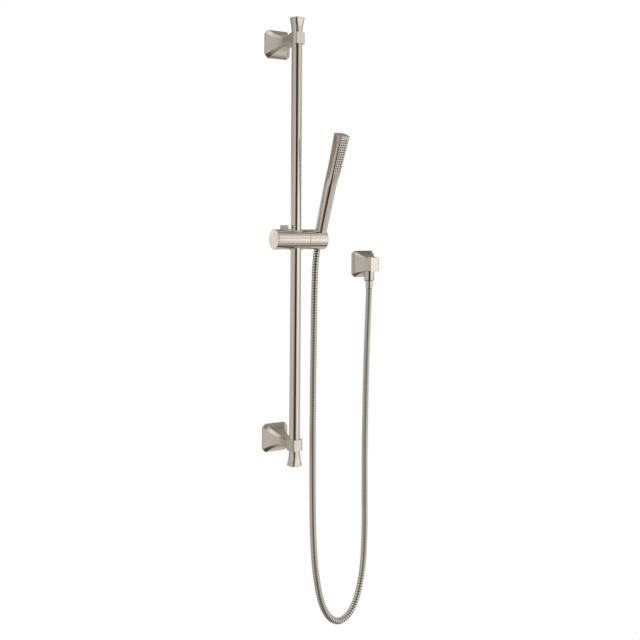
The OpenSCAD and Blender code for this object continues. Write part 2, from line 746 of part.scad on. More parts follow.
module handset_tail() {
    color(brass) on_handset() difference() {
        translate([0, 0, tail_foot]) cylinder(r = thread_r, h = tail_top - tail_foot);
        translate([0, 0, tail_foot - 1]) cylinder(r = tail_bore_r, h = tail_top);
        translate([0, 0, tail_foot - 1]) cylinder(r = regulator_r + run_fit, h = regulator_h + 1);
        translate([0, 0, tail_top - 5]) cylinder(r = tube_d / 2 + run_fit, h = 6);
    }
}

module flow_regulator() {
    color(plastic_white) on_handset() translate([0, 0, tail_foot]) difference() {
        cylinder(r = regulator_r, h = regulator_h);
        for (a = [0:45:315]) rotate([0, 0, a]) translate([regulator_r * 0.62, 0, -eps])
            cylinder(r = 0.9, h = regulator_h + 2 * eps);
    }
}

module waterway_tube() {
    color(plastic_white) on_handset() translate([0, 0, tail_top - 5])
        tube(tube_d / 2, tube_d / 2 - tube_wall, tube_end - tail_top + 5);
}

module spray_chamber() {
    front = plate_depth + mat_t;
    color(plastic_white) difference() {
        on_face() difference() {
            translate([-plate_w / 2, front, -plate_h / 2]) cube([plate_w, chamber_depth, plate_h]);
            translate([-plate_w / 2 + chamber_wall, front - 1, -plate_h / 2 + 3])
                cube([plate_w - 2 * chamber_wall, chamber_depth - chamber_wall + 1,
                    plate_h - 3 - chamber_wall]);
        }
        on_handset() translate([0, 0, tube_end - 10]) cylinder(r = tube_d / 2 + run_fit, h = 10);
    }
}

// places children at every nozzle on the spray face, local Z pointing out
module nozzles() {
    on_face() for (c = [0:nozzle_cols - 1]) for (r = [0:nozzle_rows - 1])
        translate([(c - (nozzle_cols - 1) / 2) * col_pitch, 0, (r - (nozzle_rows - 1) / 2) * row_pitch])
            rotate([90, 0, 0]) children();
}

module nozzle_mat() {
    color(rubber_dark) {
        on_face() translate([-plate_w / 2 + 0.2, plate_depth, -plate_h / 2 + 0.2])
            cube([plate_w - 0.4, mat_t, plate_h - 0.4]);
        nozzles() translate([0, 0, -plate_depth - mat_t / 2])
            cylinder(r1 = nozzle_hole_d / 2 - run_fit, r2 = nozzle_hole_d / 2 - 3 * run_fit,
                h = plate_depth + mat_t / 2 + nozzle_proud, $fn = 16);
    }
}

module spray_plate() {
    color(nickel) difference() {
        on_face() translate([-plate_w / 2, 0, -plate_h / 2]) cube([plate_w, plate_depth, plate_h]);
        nozzles() translate([0, 0, -plate_depth - 1])
            cylinder(d = nozzle_hole_d, h = plate_depth + 2, $fn = 16);
    }
}

// ---------- hose and its fittings ----------

module upper_hose_washer() {
    color(rubber_dark) on_handset() translate([0, 0, flange_top])
        tube(upper_flange_r - play, insert_bore_r, washer_t);
}

module upper_hose_insert() {
    color(brass) on_handset() difference() {
        union() {
            translate([0, 0, flange_bottom]) cylinder(r = upper_flange_r - run_fit, h = insert_flange_t);
            translate([0, 0, hose_start]) cylinder(d = hose_d, h = flange_bottom - hose_start + eps);
        }
        translate([0, 0, hose_start - 1]) cylinder(r = insert_bore_r, h = nut_foot + hose_d);
    }
}

module upper_ferrule() {
    color(nickel) on_handset() translate([0, 0, ferrule_foot])
        tube(upper_ferrule_d / 2, hose_d / 2 + run_fit, upper_ferrule_len);
}

module shower_hose() {
    color(nickel_dark) swept(curve(route, hose_steps), hose_d / 2, hose_sides, [-0.2325, 0.9726, 0]);
}

module at_outlet(z) { translate([elbow_x, -outlet_out, z]) children(); }

module lower_ferrule() {
    foot = nut_bottom - lower_ferrule_out;
    color(nickel) at_outlet(foot)
        tube(lower_ferrule_d / 2, hose_d / 2 + run_fit, insert_top - insert_flange_t - foot);
}

module lower_hose_insert() {
    color(brass) at_outlet(hose_end_z) difference() {
        union() {
            cylinder(d = hose_d, h = insert_top - hose_end_z);
            translate([0, 0, insert_top - insert_flange_t - hose_end_z])
                cylinder(r = lower_flange_r, h = insert_flange_t);
        }
        translate([0, 0, -1]) cylinder(r = insert_bore_r, h = hose_nut_h + lower_ferrule_out);
    }
}

module lower_hose_washer() {
    color(rubber_dark) at_outlet(insert_top) tube(lower_flange_r, insert_bore_r, washer_t);
}

module hose_nut() {
    r = hose_nut_d / 2;
    bevel = 1.2;
    color(nickel) at_outlet(nut_bottom) difference() {
        rotate_extrude() polygon([[0, 0], [r - bevel, 0], [r, bevel], [r, hose_nut_h], [0, hose_nut_h]]);
        translate([0, 0, -1]) cylinder(r = lower_ferrule_d / 2 + run_fit, h = nut_lip + 2);
        translate([0, 0, nut_lip]) cylinder(r = coupling_r + run_fit, h = hose_nut_h);
    }
}

// ---------- outlet elbow ----------

module outlet_nipple() {
    color(brass) at_outlet(nipple_bottom) difference() {
        union() {
            cylinder(r = coupling_r, h = nut_top - nipple_bottom);
            cylinder(r = nipple_r, h = nipple_top - nipple_bottom);
        }
        translate([0, 0, -1]) cylinder(r = valve_r + run_fit, h = valve_top - nipple_bottom + 1);
        cylinder(r = valve_port_r + 1.5, h = elbow_z);
    }
}

module check_valve_body() {
    bore = poppet_r + 0.9;
    color(plastic_white) at_outlet(valve_bottom) {
        difference() {
            cylinder(r = valve_r, h = valve_len);
            translate([0, 0, -1]) cylinder(r = bore, h = valve_len - valve_seat_t + 1);
            cylinder(r = valve_port_r, h = valve_len + 1);
        }
        // three arms carry the hub that guides the poppet
        linear_extrude(hub_h) difference() {
            union() {
                circle(r = 2.5);
                for (a = [30:120:270]) rotate(a) translate([0, -0.7]) square([bore + 0.5, 1.4]);
            }
            circle(r = poppet_stem_r + run_fit);
        }
    }
}

module check_valve_poppet() {
    head_z = seat_z - poppet_gap - poppet_t;
    foot = valve_bottom + poppet_travel / 2;
    color(plastic_grey) {
        at_outlet(head_z) cylinder(r = poppet_r, h = poppet_t);
        at_outlet(foot) cylinder(r = poppet_stem_r, h = head_z - foot + 1);
    }
}

module check_valve_spring() {
    foot = valve_bottom + hub_h;
    color(steel) at_outlet(foot) coil(2.1, 0.6, seat_z - poppet_gap - poppet_t - foot, 4);
}

module elbow_body() {
    hx = block_w / 2;
    hz = block_h / 2;
    reach = 39.3;
    section_chamfer = 1.5;
    front = block_front - block_front_chamfer;
    color(nickel) difference() {
        translate([elbow_x, 0, elbow_z]) outward() difference() {
            union() {
                flare(elbow_flange_w, hx, hz, reach, flange_chamfer, section_chamfer,
                    depth_steps(reach, front), 0);
                translate([0, 0, front - eps]) loft([
                    [0, corners(hx, -hz, hz, section_chamfer, section_chamfer)],
                    [block_front_chamfer + eps,
                        corners(hx - block_front_chamfer, -hz, hz, section_chamfer, section_chamfer)]]);
            }
            difference() {
                casting_core(elbow_flange_w, hx, hz, reach, flange_chamfer, section_chamfer, rim_t + 8);
                cylinder(r = gasket_r + 2, h = elbow_core_roof);
            }
            translate([0, 0, -eps]) cylinder(r = inlet_r, h = inlet_len + eps);
            translate([0, 0, -eps]) cylinder(r = waterway_r, h = outlet_out + waterway_r);
            translate([0, 0, -eps]) tube(gasket_r, gasket_r - gasket_w, gasket_t + eps);
        }
        at_outlet(elbow_z - elbow_flange_w)
            cylinder(r = hose_nut_d / 2 + play, h = elbow_flange_w - nut_seat);
        at_outlet(nut_top - 1) cylinder(r = nipple_r + run_fit, h = nipple_top - nut_top + 1);
        at_outlet(nut_top) cylinder(r = valve_port_r + 1.5, h = elbow_z - nut_top);
    }
}

module elbow_gasket() {
    color(rubber_dark) translate([elbow_x, 0, elbow_z]) outward()
        tube(gasket_r - run_fit, gasket_r - gasket_w + run_fit, gasket_t);
}

upper_bracket();
lower_bracket();
upper_wall_plate();
lower_wall_plate();
bracket_set_screws();
slide_bar();
upper_bar_plug();
lower_bar_plug();
upper_finial();
lower_finial();
friction_sleeve();
slider_body();
upper_trim_ring();
lower_trim_ring();
slider_end_cap();
friction_washer();
pivot_bolt();
spring_washer();
brake_shoe();
shoe_spring();
release_button();
cradle();
cone_nut();
handset_shell();
handset_tail();
flow_regulator();
waterway_tube();
spray_chamber();
nozzle_mat();
spray_plate();
upper_hose_washer();
upper_hose_insert();
upper_ferrule();
shower_hose();
lower_ferrule();
lower_hose_insert();
lower_hose_washer();
hose_nut();
outlet_nipple();
check_valve_body();
check_valve_spring();
check_valve_poppet();
elbow_body();
elbow_gasket();
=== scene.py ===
import json
import math

import bmesh
import bpy
from mathutils import Matrix, Vector


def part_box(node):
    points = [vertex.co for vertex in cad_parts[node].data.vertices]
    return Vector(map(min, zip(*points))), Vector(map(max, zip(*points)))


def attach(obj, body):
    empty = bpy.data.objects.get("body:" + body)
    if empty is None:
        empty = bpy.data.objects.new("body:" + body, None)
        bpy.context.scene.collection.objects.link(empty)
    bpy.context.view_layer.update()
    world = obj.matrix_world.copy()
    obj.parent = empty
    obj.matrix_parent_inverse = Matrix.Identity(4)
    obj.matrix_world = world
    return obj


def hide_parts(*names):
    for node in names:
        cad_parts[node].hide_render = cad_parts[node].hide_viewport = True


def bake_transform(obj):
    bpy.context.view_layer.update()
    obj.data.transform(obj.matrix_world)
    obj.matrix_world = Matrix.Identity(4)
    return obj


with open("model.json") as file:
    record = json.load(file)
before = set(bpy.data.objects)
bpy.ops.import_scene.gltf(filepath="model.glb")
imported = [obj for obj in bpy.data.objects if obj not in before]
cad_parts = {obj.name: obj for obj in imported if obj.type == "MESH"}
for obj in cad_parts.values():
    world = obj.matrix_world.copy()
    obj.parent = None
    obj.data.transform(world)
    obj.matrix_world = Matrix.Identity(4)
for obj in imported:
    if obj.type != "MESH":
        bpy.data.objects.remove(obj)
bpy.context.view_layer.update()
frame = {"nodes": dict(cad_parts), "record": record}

MM = 0.001


def linked(name, data):
    """New object of the scene that shows this data."""
    obj = bpy.data.objects.new(name, data)
    bpy.context.scene.collection.objects.link(obj)
    return obj


# ---------- camera ----------

SENSOR_MM, LENS_MM = 36.0, 53.787375
LENS_SHIFT = -0.1471875            # of the picture's width, because the camera looks level
CAMERA_AT = Vector((-0.98466, -1.76777, 0.44620))
CAMERA_YAW = math.radians(31.785)
CAMERA_ROLL = math.radians(0.372)


def make_camera():
    data = bpy.data.cameras.new("camera")
    data.sensor_fit = "HORIZONTAL"
    data.sensor_width = SENSOR_MM
    data.lens = LENS_MM
    data.shift_y = LENS_SHIFT
    data.clip_start = 0.01
    data.clip_end = 60.0
    camera = linked("camera", data)
    ahead = Vector((math.sin(CAMERA_YAW), math.cos(CAMERA_YAW), 0))
    level = Vector((math.cos(CAMERA_YAW), -math.sin(CAMERA_YAW), 0))
    up = Vector((0, 0, 1))
    side = level * math.cos(CAMERA_ROLL) + up * math.sin(CAMERA_ROLL)
    top = up * math.cos(CAMERA_ROLL) - level * math.sin(CAMERA_ROLL)
    turn = Matrix((side, top, -ahead)).transposed()
    camera.matrix_world = Matrix.Translation(CAMERA_AT) @ turn.to_4x4()
    bpy.context.scene.camera = camera


# ---------- places and sizes worked out from the frame ----------

def middle(node):
    low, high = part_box(node)
    return (low + high) / 2


BAR = middle("slide_bar")
BAR_LOW, BAR_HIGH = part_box("slide_bar")
BAR_R = (BAR_HIGH.x - BAR_LOW.x) / 2
SLIDER_LOW, SLIDER_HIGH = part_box("slider_body")
SLIDER_R = (SLIDER_HIGH.y - SLIDER_LOW.y) / 2
SLIDER_Z = middle("slider_body").z
CRADLE_LOW, CRADLE_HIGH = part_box("cradle")
CRADLE_X = middle("handset_shell").x
HINGE = Vector((CRADLE_X, BAR.y, SLIDER_Z))          # where the handset's axis meets the slider's
LEAN = math.radians(20.5)
ON_HANDSET = Matrix.Translation(HINGE) @ Matrix.Rotation(LEAN, 4, "X")
UPPER_Z = middle("upper_wall_plate").z
LOWER_Z = middle("lower_wall_plate").z
ELBOW = middle("elbow_gasket")
OUTLET = middle("hose_nut")
AT_OUTLET = Matrix.Translation((OUTLET.x, OUTLET.y, 0))
RUN_FIT = 0.05                     # millimetres of room round a running or sliding fit


def on_axis(t):
    """Point of the handset's axis at height t from the slider's axis."""
    return ON_HANDSET @ Vector((0, 0, t))


# ---------- the hose's route, the same points as in part.scad ----------

HOSE_D = 14 * MM
HOSE_START = -15.05 * MM           # along the handset's axis
HOSE_END_Z = 316 * MM
ROUTE_BETWEEN = [
    (56, -71, 365), (56.3, -68.5, 335), (56, -67.5, 300), (55.5, -67.5, 250), (55, -67.5, 190),
    (54.3, -67.6, 125), (54, -67.8, 60), (54, -67.8, 0), (54.2, -67.8, -65), (55, -67.6, -125),
    (57, -67, -190), (61.5, -66, -250), (69, -64.2, -298), (80, -61.6, -340), (94, -58.2, -369),
    (111, -54.2, -389), (131, -49.5, -400), (151, -44.8, -400), (170, -40.2, -390.5),
    (186, -36.4, -371), (200, -33, -335), (209, -30.8, -290), (212.5, -30, -225),
    (212.3, -30, -160), (211.5, -30.2, -92), (211.5, -30.2, -26), (212.7, -29.9, 40),
    (214, -29.6, 106), (216, -29.2, 172), (219, -28.5, 238), (221.4, -27.8, 285),
]
RIB_PITCH = 5.67 * MM
RIB_PROFILE = [                    # share of the pitch, depth below the crown
    (0.0, 1.05), (0.09, 0.95), (0.15, 0.35), (0.24, 0.08),
    (0.50, 0.0), (0.76, 0.08), (0.85, 0.35), (0.91, 0.95),
]
PER_PITCH = len(RIB_PROFILE)
HOSE_SIDES = 32
HOSE_REF = Vector((-0.2325, 0.9726, 0))              # the route never runs this way
SEAM_TOP, SEAM_BEND, SEAM_LOOP = 345 * MM, 250 * MM, -290 * MM


def hose_points():
    """The route, from the handset's ferrule round the loop to the elbow's ferrule."""
    top = [on_axis(HOSE_START - drop * MM) for drop in (0, 6, 12)]
    between = [Vector(p) * MM for p in ROUTE_BETWEEN]
    end = [Vector((OUTLET.x, OUTLET.y, HOSE_END_Z - rise * MM)) for rise in (14, 7, 0)]
    return top + between + end


def curved(points, steps):
    """Smooth curve through the points, with this many pieces to each stretch."""
    line = []
    last = len(points) - 1
    for i in range(last):
        a, b, c, d = points[max(0, i - 1)], points[i], points[i + 1], points[min(last, i + 2)]
        for k in range(steps):
            u = k / steps
            line.append(b + (c - a) * (u / 2) + (a - b * 2.5 + c * 2 - d / 2) * u ** 2
                        + (b * 1.5 - c * 1.5 + (d - a) / 2) * u ** 3)
    line.append(points[last])
    return line


def run_lengths(line):
    """Distance along the line to each of its points."""
    run = [0.0]
    for a, b in zip(line, line[1:]):
        run.append(run[-1] + (b - a).length)
    return run


def make_sampler(line):
    """Function that gives the point and the direction at a distance along the line."""
    run = run_lengths(line)

    def sample(s):
        s = min(max(s, 0.0), run[-1])
        low, high = 0, len(run) - 1
        while high - low > 1:
            mid = (low + high) // 2
            if run[mid] <= s:
                low = mid
            else:
                high = mid
        share = (s - run[low]) / (run[high] - run[low])
        near = (line[min(high + 1, len(line) - 1)] - line[max(low - 1, 0)]).normalized()
        return line[low].lerp(line[high], share), near

    return sample, run[-1]


def hose_grid():
    """Rings of the ribbed hose: each vertex is set back along the line, so that the ribs are one helix."""
    sample, length = make_sampler(curved(hose_points(), 12))
    ribs = int((length - RIB_PITCH) / RIB_PITCH)
    pitch = (length - RIB_PITCH) / ribs
    rings, centres = [], []
    for i in range(ribs * PER_PITCH + 1):
        share, depth = RIB_PROFILE[i % PER_PITCH]
        start = (i // PER_PITCH + share) * pitch
        centres.append(sample(start)[0])
        ring = []
        for j in range(HOSE_SIDES):
            at, ahead = sample(start + pitch * j / HOSE_SIDES)
            across = HOSE_REF.cross(ahead).normalized()
            beside = ahead.cross(across)
            turn = 2 * math.pi * j / HOSE_SIDES
            ring.append(at + (across * math.cos(turn) + beside * math.sin(turn))
                        * (HOSE_D / 2 - depth * MM))
        rings.append(ring)
    return rings, centres


def hose_piece(name, grid, first, last):
    """One stretch of the hose, from ring first to ring last."""
    rings, centres = grid
    index, verts, faces = {}, [], []

    def vertex(i, j):
        i, j = (i + PER_PITCH, 0) if j == HOSE_SIDES else (i, j)
        i = min(i, len(rings) - 1)
        if (i, j) not in index:
            index[i, j] = len(verts)
            verts.append(rings[i][j])
        return index[i, j]

    for i in range(first, last):
        for j in range(HOSE_SIDES):
            face = dict.fromkeys((vertex(i, j), vertex(i + 1, j), vertex(i + 1, j + 1), vertex(i, j + 1)))
            if len(face) > 2:
                faces.append(list(face))
    piece = raw_object(name, verts, faces)
    # Depth share of each vertex, 0 on the crown and 1 at the bottom between the ribs; the hose's material
    # paints shade there by it.
    groove = piece.data.attributes.new("groove", "FLOAT", "POINT")
    for (i, j), at in index.items():
        groove.data[at].value = RIB_PROFILE[i % PER_PITCH][1] / RIB_PROFILE[0][1]
    return piece, centres[first:last + 1]


def raw_object(name, verts, faces):
    mesh = bpy.data.meshes.new(name)
    mesh.from_pydata([tuple(v) for v in verts], [], faces)
    mesh.validate()
    for face in mesh.polygons:
        face.use_smooth = True
    return linked(name, mesh)


def ring_at(centres, z):
    """Groove ring of the handset's strand nearest to a height."""
    return min(range(0, len(centres) // 2, PER_PITCH), key=lambda i: abs(centres[i].z - z))


def make_hose():
    grid = hose_grid()
    centres = grid[1]
    cuts = [ring_at(centres, z) for z in (SEAM_TOP, SEAM_BEND, SEAM_LOOP)]
    top = hose_piece("hose_top", grid, 0, cuts[0])[0]
    bend, bend_line = hose_piece("hose_bend", grid, cuts[0], cuts[1])
    rise, rise_line = hose_piece("hose_rise", grid, cuts[1], cuts[2])
    loop, loop_line = hose_piece("hose_loop", grid, cuts[2], len(centres) - 1)
    for piece in (top, bend, rise, loop):
        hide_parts("shower_hose")
        piece.data.materials.append(MATERIALS["hose"])
    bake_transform(top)
    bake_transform(bend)
    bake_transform(rise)
    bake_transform(loop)
    for piece, line, extra in ((loop, loop_line, []), (rise, rise_line, []), (bend, bend_line, [top])):
        line = line[::-1]


# ---------- shared shapes ----------

def soften(points, radius, steps=4, closed=True):
    """Outline with each corner turned into a small curve that starts this far from it."""
    out = []
    count = len(points)
    for i, p in enumerate(points):
        if not closed and i in (0, count - 1):
            out.append(p.copy())
            continue
        before, after = points[i - 1] - p, points[(i + 1) % count] - p
        start = p + before.normalized() * min(radius, before.length * 0.45)
        end = p + after.normalized() * min(radius, after.length * 0.45)
        for k in range(steps + 1):
            u = k / steps
            out.append(start * (1 - u) ** 2 + p * (2 * u * (1 - u)) + end * u ** 2)
    return out


def corners(half, low, high, cut_low, cut_high):
    """Eight corners of a chamfered rectangle, anticlockwise, in millimetres."""
    return vectors(
        (half, low + cut_low), (half, high - cut_high), (half - cut_high, high),
        (cut_high - half, high), (-half, high - cut_high), (-half, low + cut_low),
        (cut_low - half, low), (half - cut_low, low))


def dense(points, step_count):
    """The outline with points added between its corners."""
    out = []
    for i, p in enumerate(points):
        after = points[(i + 1) % len(points)]
        out += [p.lerp(after, k / step_count) for k in range(step_count)]
    return out


def vectors(*pairs):
    return [Vector(pair) for pair in pairs]


def turns(sides):
    return [2 * math.pi * j / sides for j in range(sides)]


def circle(radius, sides):
    return [Vector((radius * math.cos(turn), radius * math.sin(turn))) for turn in turns(sides)]


def placed(place, outline, z):
    """Ring of an outline's points at height z, all in millimetres, put in its place."""
    return [place @ (Vector((p.x, p.y, z)) * MM) for p in outline]


def quarter(steps, first=0):
    """Angles of a quarter turn."""
    return [math.pi / 2 * k / steps for k in range(first, steps + 1)]


def top_levels(top, rim, steps, first=0):
    """Heights up a rounded rim, each with how far the outline is set in there."""
    return [(top - rim + rim * math.sin(a), rim * (1 - math.cos(a))) for a in quarter(steps, first)]


def end_levels(low, high, edge):
    """Heights of a prism's rings, each with how far it is set in, for two softened ends."""
    levels = [(low + edge * (1 - math.cos(a)), edge * (1 - math.sin(a))) for a in quarter(3)]
    return levels + [(low + high - z, inset) for z, inset in levels[::-1]]


def lofted(name, rings, closed=False):
    """Solid through rings that all have the same number of points, in metres."""
    count = len(rings[0])
    verts = [v for ring in rings for v in ring]
    faces = []
    pairs = [(i, i + 1) for i in range(len(rings) - 1)] + ([(len(rings) - 1, 0)] if closed else [])
    for low, high in pairs:
        for j in range(count):
            k = (j + 1) % count
            faces.append([low * count + j, low * count + k, high * count + k, high * count + j])
    if not closed:
        faces.append(list(range(count))[::-1])
        faces.append([(len(rings) - 1) * count + j for j in range(count)])
    obj = raw_object(name, verts, faces)
    outward(obj)
    return obj


def outward(obj):
    """Turns every face to the outside."""
    bm = bmesh.new()
    bm.from_mesh(obj.data)
    bmesh.ops.remove_doubles(bm, verts=bm.verts, dist=1e-7)
    bmesh.ops.recalc_face_normals(bm, faces=bm.faces)
    bm.to_mesh(obj.data)
    bm.free()


def lathe(name, profile, place, sides, closed=False):
    """Turned piece: profile is (radius, height) in millimetres, place puts its axis."""
    rings = [placed(place, circle(p.x, sides), p.y) for p in profile]
    return lofted(name, list(zip(*rings)) if closed else rings, closed)


def ring_profile(inner, outer, low, high, edge):
    """Section of a tube with softened edges."""
    return soften(vectors((inner, low), (outer, low), (outer, high), (inner, high)), edge)


def disc_profile(radius, low, high, edge):
    """Half section of a solid cylinder with softened edges, without its axis."""
    return soften(vectors((0, low), (radius, low), (radius, high), (0, high)),
                  edge, closed=False)[1:-1]


def combine(obj, operation, others):
    """Applies a boolean of the object with each of the others, and deletes them."""
    for other in others:
        modifier = obj.modifiers.new("cut", "BOOLEAN")
        modifier.operation = operation
        modifier.solver = "EXACT"
        modifier.object = other
    bpy.context.view_layer.update()
    ready = obj.evaluated_get(bpy.context.evaluated_depsgraph_get())
    mesh = bpy.data.meshes.new_from_object(ready)
    old = obj.data
    obj.modifiers.clear()
    obj.data = mesh
    bpy.data.meshes.remove(old)
    for other in others:
        bpy.data.objects.remove(other)


def cut(obj, *cutters):
    combine(obj, "DIFFERENCE", cutters)


def join(obj, other):
    combine(obj, "UNION", [other])


HARD_EDGE = math.radians(38)


def shade(obj):
    """Smooth shading that keeps flat faces flat and marks the hard edges."""
    bm = bmesh.new()
    bm.from_mesh(obj.data)
    for face in bm.faces:
        face.smooth = True
    for edge in bm.edges:
        edge.smooth = len(edge.link_faces) == 2 and edge.calc_face_angle(0) < HARD_EDGE
    bm.to_mesh(obj.data)
    bm.free()
    weights = obj.modifiers.new("flat faces stay flat", "WEIGHTED_NORMAL")
    weights.keep_sharp = True
    weights.weight = 60


BODY_OF = {node: body for body, nodes in frame["record"]["behaviour"]["bodies"].items() for node in nodes}


def stands_for(obj, node, material):
    """The piece takes the place of a CAD node and moves with that node's body."""
    obj.data.materials.clear()
    obj.data.materials.append(MATERIALS[material])
    for face in obj.data.polygons:
        face.material_index = 0
    shade(obj)
    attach(obj, BODY_OF[node])
    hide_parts(node)


# ---------- bar, brackets and finials ----------

OUT = Matrix.Rotation(math.radians(90), 4, "X")      # local Z becomes the way out from the wall
SIDEWAYS = Matrix.Rotation(math.radians(90), 4, "Y")
RIM, FLARE_POWER = 4.7, 2.4
CASTING_WALL, FLANGE_EDGE = 3.6, 0.45


def flare_rings(flange, half_x, half_z, reach, cut_wall, cut_neck, depths, inset, place, edge=0.8):
    """Rings of a casting that sweeps from a square flange in to a rectangular neck."""
    rings = []
    for d in depths:
        left = (1 - min(1, max(0, (d - RIM) / reach))) ** FLARE_POWER
        chamfer = max(0.5, cut_neck + (cut_wall - cut_neck) * left - inset / 2)
        x = half_x + (flange / 2 - half_x) * left - inset
        z = half_z + (flange / 2 - half_z) * left - inset
        if d == 0 and inset == 0:
            x, z = x - FLANGE_EDGE, z - FLANGE_EDGE
        rings.append(placed(place, soften(corners(x, -z, z, chamfer, chamfer), edge), d))
    return rings


def sweep_depths(end, steps=44):
    start = RIM + 0.2
    return [0, FLANGE_EDGE, 1.2, RIM - 1.2, RIM - 0.25] + [
        start + (end - start) * (i / steps) ** 1.15 for i in range(steps + 1)]


def core_depths(roof, steps):
    """Depths of a casting's hollow, from just outside the wall up to its roof."""
    return [-1] + [RIM + (roof - RIM) * i / steps for i in range(steps + 1)]


def cone(name, r_low, r_high, low, high, place, sides=96):
    """Plain tapered cutter."""
    return lofted(name, [placed(place, circle(r, sides), z) for r, z in ((r_low, low), (r_high, high))])


def cylinder(name, radius, low, high, place, sides=64):
    """Plain cutter."""
    return cone(name, radius, radius, low, high, place, sides)


def block(name, low, high, place, edge=0.0):
    """Block between two corners in millimetres, its Z edges and both ends softened."""
    (x0, y0, z0), (x1, y1, z1) = low, high
    if not edge:
        outline = vectors((x0, y0), (x1, y0), (x1, y1), (x0, y1))
        return lofted(name, [placed(place, outline, z) for z in (z0, z1)])
    rings = []
    for z, inset in end_levels(z0, z1, edge):
        left, right, near, far = x0 + inset, x1 - inset, y0 + inset, y1 - inset
        flat = vectors((left, near), (right, near), (right, far), (left, far))
        rings.append(placed(place, soften(flat, edge, 3), z))
    return lofted(name, rings)


def softened_prism(name, outline, low, high, place):
    """Upright prism whose end edges are softened."""
    centre = sum(outline, Vector((0, 0))) / len(outline)
    rings = []
    for z, inset in end_levels(low, high, 0.5):
        ring = [centre + (p - centre) * (1 - inset / (p - centre).length) for p in outline]
        rings.append(placed(place, ring, z))
    return lofted(name, rings)


BAR_AT = Vector((BAR.x, BAR.y, 0))
COLLAR_HALF, COLLAR_H, COLLAR_CUT = 13.3, 22.9, 4.8
FLANGE, NECK_W, NECK_H, SWEEP = 59.0, 25.2, 22.4, 50.0
FLANGE_CUT, NECK_CUT = 7.0, 4.5
POST_R, BOSS_R, CORE_ROOF, PLATE_T = 12.05, 17.0, 44.7, 3.0
GRUB_OUT, GRUB_R = 10.0, 2.55


def make_bracket(node, z):
    """Hollow cast bracket: flange, sweep, neck and the collar round the bar."""
    at_wall = Matrix.Translation((0, 0, z)) @ OUT
    neck_end = -BAR.y / MM - COLLAR_HALF + COLLAR_CUT - 0.9
    section = (FLANGE, NECK_W / 2, NECK_H / 2, SWEEP, FLANGE_CUT, NECK_CUT)
    body = lofted(node + "_skin", flare_rings(*section, sweep_depths(neck_end), 0, at_wall))
    core = lofted("core", flare_rings(*section, core_depths(CORE_ROOF, 12), CASTING_WALL, at_wall))
    cut(core, cylinder("boss", BOSS_R, PLATE_T, CORE_ROOF + 5, at_wall))
    collar = softened_prism("collar", soften(corners(COLLAR_HALF, -COLLAR_HALF, COLLAR_HALF,
                                                     COLLAR_CUT, COLLAR_CUT), 0.7),
                            -COLLAR_H / 2, COLLAR_H / 2, Matrix.Translation(BAR_AT + Vector((0, 0, z))))
    join(body, collar)
    cut(body, core, cylinder("post", POST_R, -1, 16, at_wall),
        cylinder("bar bore", BAR_R / MM + RUN_FIT, -COLLAR_H, COLLAR_H,
                 Matrix.Translation(BAR_AT + Vector((0, 0, z))), 128),
        cylinder("grub bore", GRUB_R, 0, FLANGE / 2 + 1,
                 Matrix.Translation((0, -GRUB_OUT * MM, z)) @ SIDEWAYS, 32))
    stands_for(body, node, "cast")


def make_bar():
    low, high = BAR_LOW.z / MM, BAR_HIGH.z / MM
    bar = lathe("bar", ring_profile(BAR_R / MM - 1.5, BAR_R / MM, low, high, 0.4),
                Matrix.Translation(BAR_AT), 160, closed=True)
    stands_for(bar, "slide_bar", "bar")


FINIAL_LEN, FLARE_LEN, FINIAL_BASE, FINIAL_POWER, FINIAL_SOFT = 31.0, 28.5, 11.25, 1.9, 3.0
STUD_R = 4.0


def finial_outline(share, inset):
    """Outline from the bar's round, at share 0, to the square top."""
    square = dense(soften(corners(COLLAR_HALF - inset, inset - COLLAR_HALF, COLLAR_HALF - inset,
                                  COLLAR_CUT, COLLAR_CUT), FINIAL_SOFT, 6), 3)
    return [p * share + p.normalized() * (FINIAL_BASE * (1 - share)) for p in square]


def make_finial(node, end_z, way):
    """Cap that grows from the bar's round to a square top with cut corners."""
    place = Matrix.Translation(BAR_AT + Vector((0, 0, end_z))) @ Matrix.Diagonal((1, 1, way, 1))
    steps, rim = 26, 0.9
    levels = [(FLARE_LEN * i / steps, (i / steps) ** FINIAL_POWER, 0) for i in range(steps + 1)]
    levels += [(t, 1, inset) for t, inset in top_levels(FINIAL_LEN, rim, 5)]
    finial = lofted(node + "_skin", [placed(place, finial_outline(share, inset), t)
                                     for t, share, inset in levels])
    join(finial, cylinder("stud", STUD_R, -14, 1, place))
    stands_for(finial, node, "cast")


# ---------- slider, button and cradle ----------

AT_SLIDER = Matrix.Translation((BAR.x, BAR.y, SLIDER_Z))
ALONG_X = AT_SLIDER @ SIDEWAYS
SL_R = SLIDER_R / MM
SL_LEFT, SL_RIGHT = SLIDER_LOW.x / MM, SLIDER_HIGH.x / MM
TRIM_R, TRIM_BORE, TRIM_BASE, SADDLE_R = 15.0, 11.4, 11.3, SL_R + 0.7
BUTTON_X, BUTTON_R, BUTTON_BASE, BUTTON_TOP = -27.0, 8.5, 15.5, SL_R + 8.4
BUTTON_RIBS, RIB_DEPTH, BUTTON_TRAVEL = 12, 0.8, 4.0
STEM_W, SHOE_R, WEDGE_X, WEDGE_SLOPE, STEM_RIGHT, PLAY = 5.0, 6.5, 29.0, 0.3, 23.0, 0.3
STEM_BOTTOM, STEM_ROOT = SHOE_R + 2.5, 1.0    # the stem's root runs this far into the button
SLEEVE_R, SPIGOT_R, SPIGOT_LEN, POCKET_R, BOLT_R, BOLT_HEAD_ROOM = 12.5, 17.0, 3.0, 12.0, 4.0, 6.8
BUTTON_AXIS = AT_SLIDER @ Matrix.Translation((BUTTON_X * MM, 0, 0))


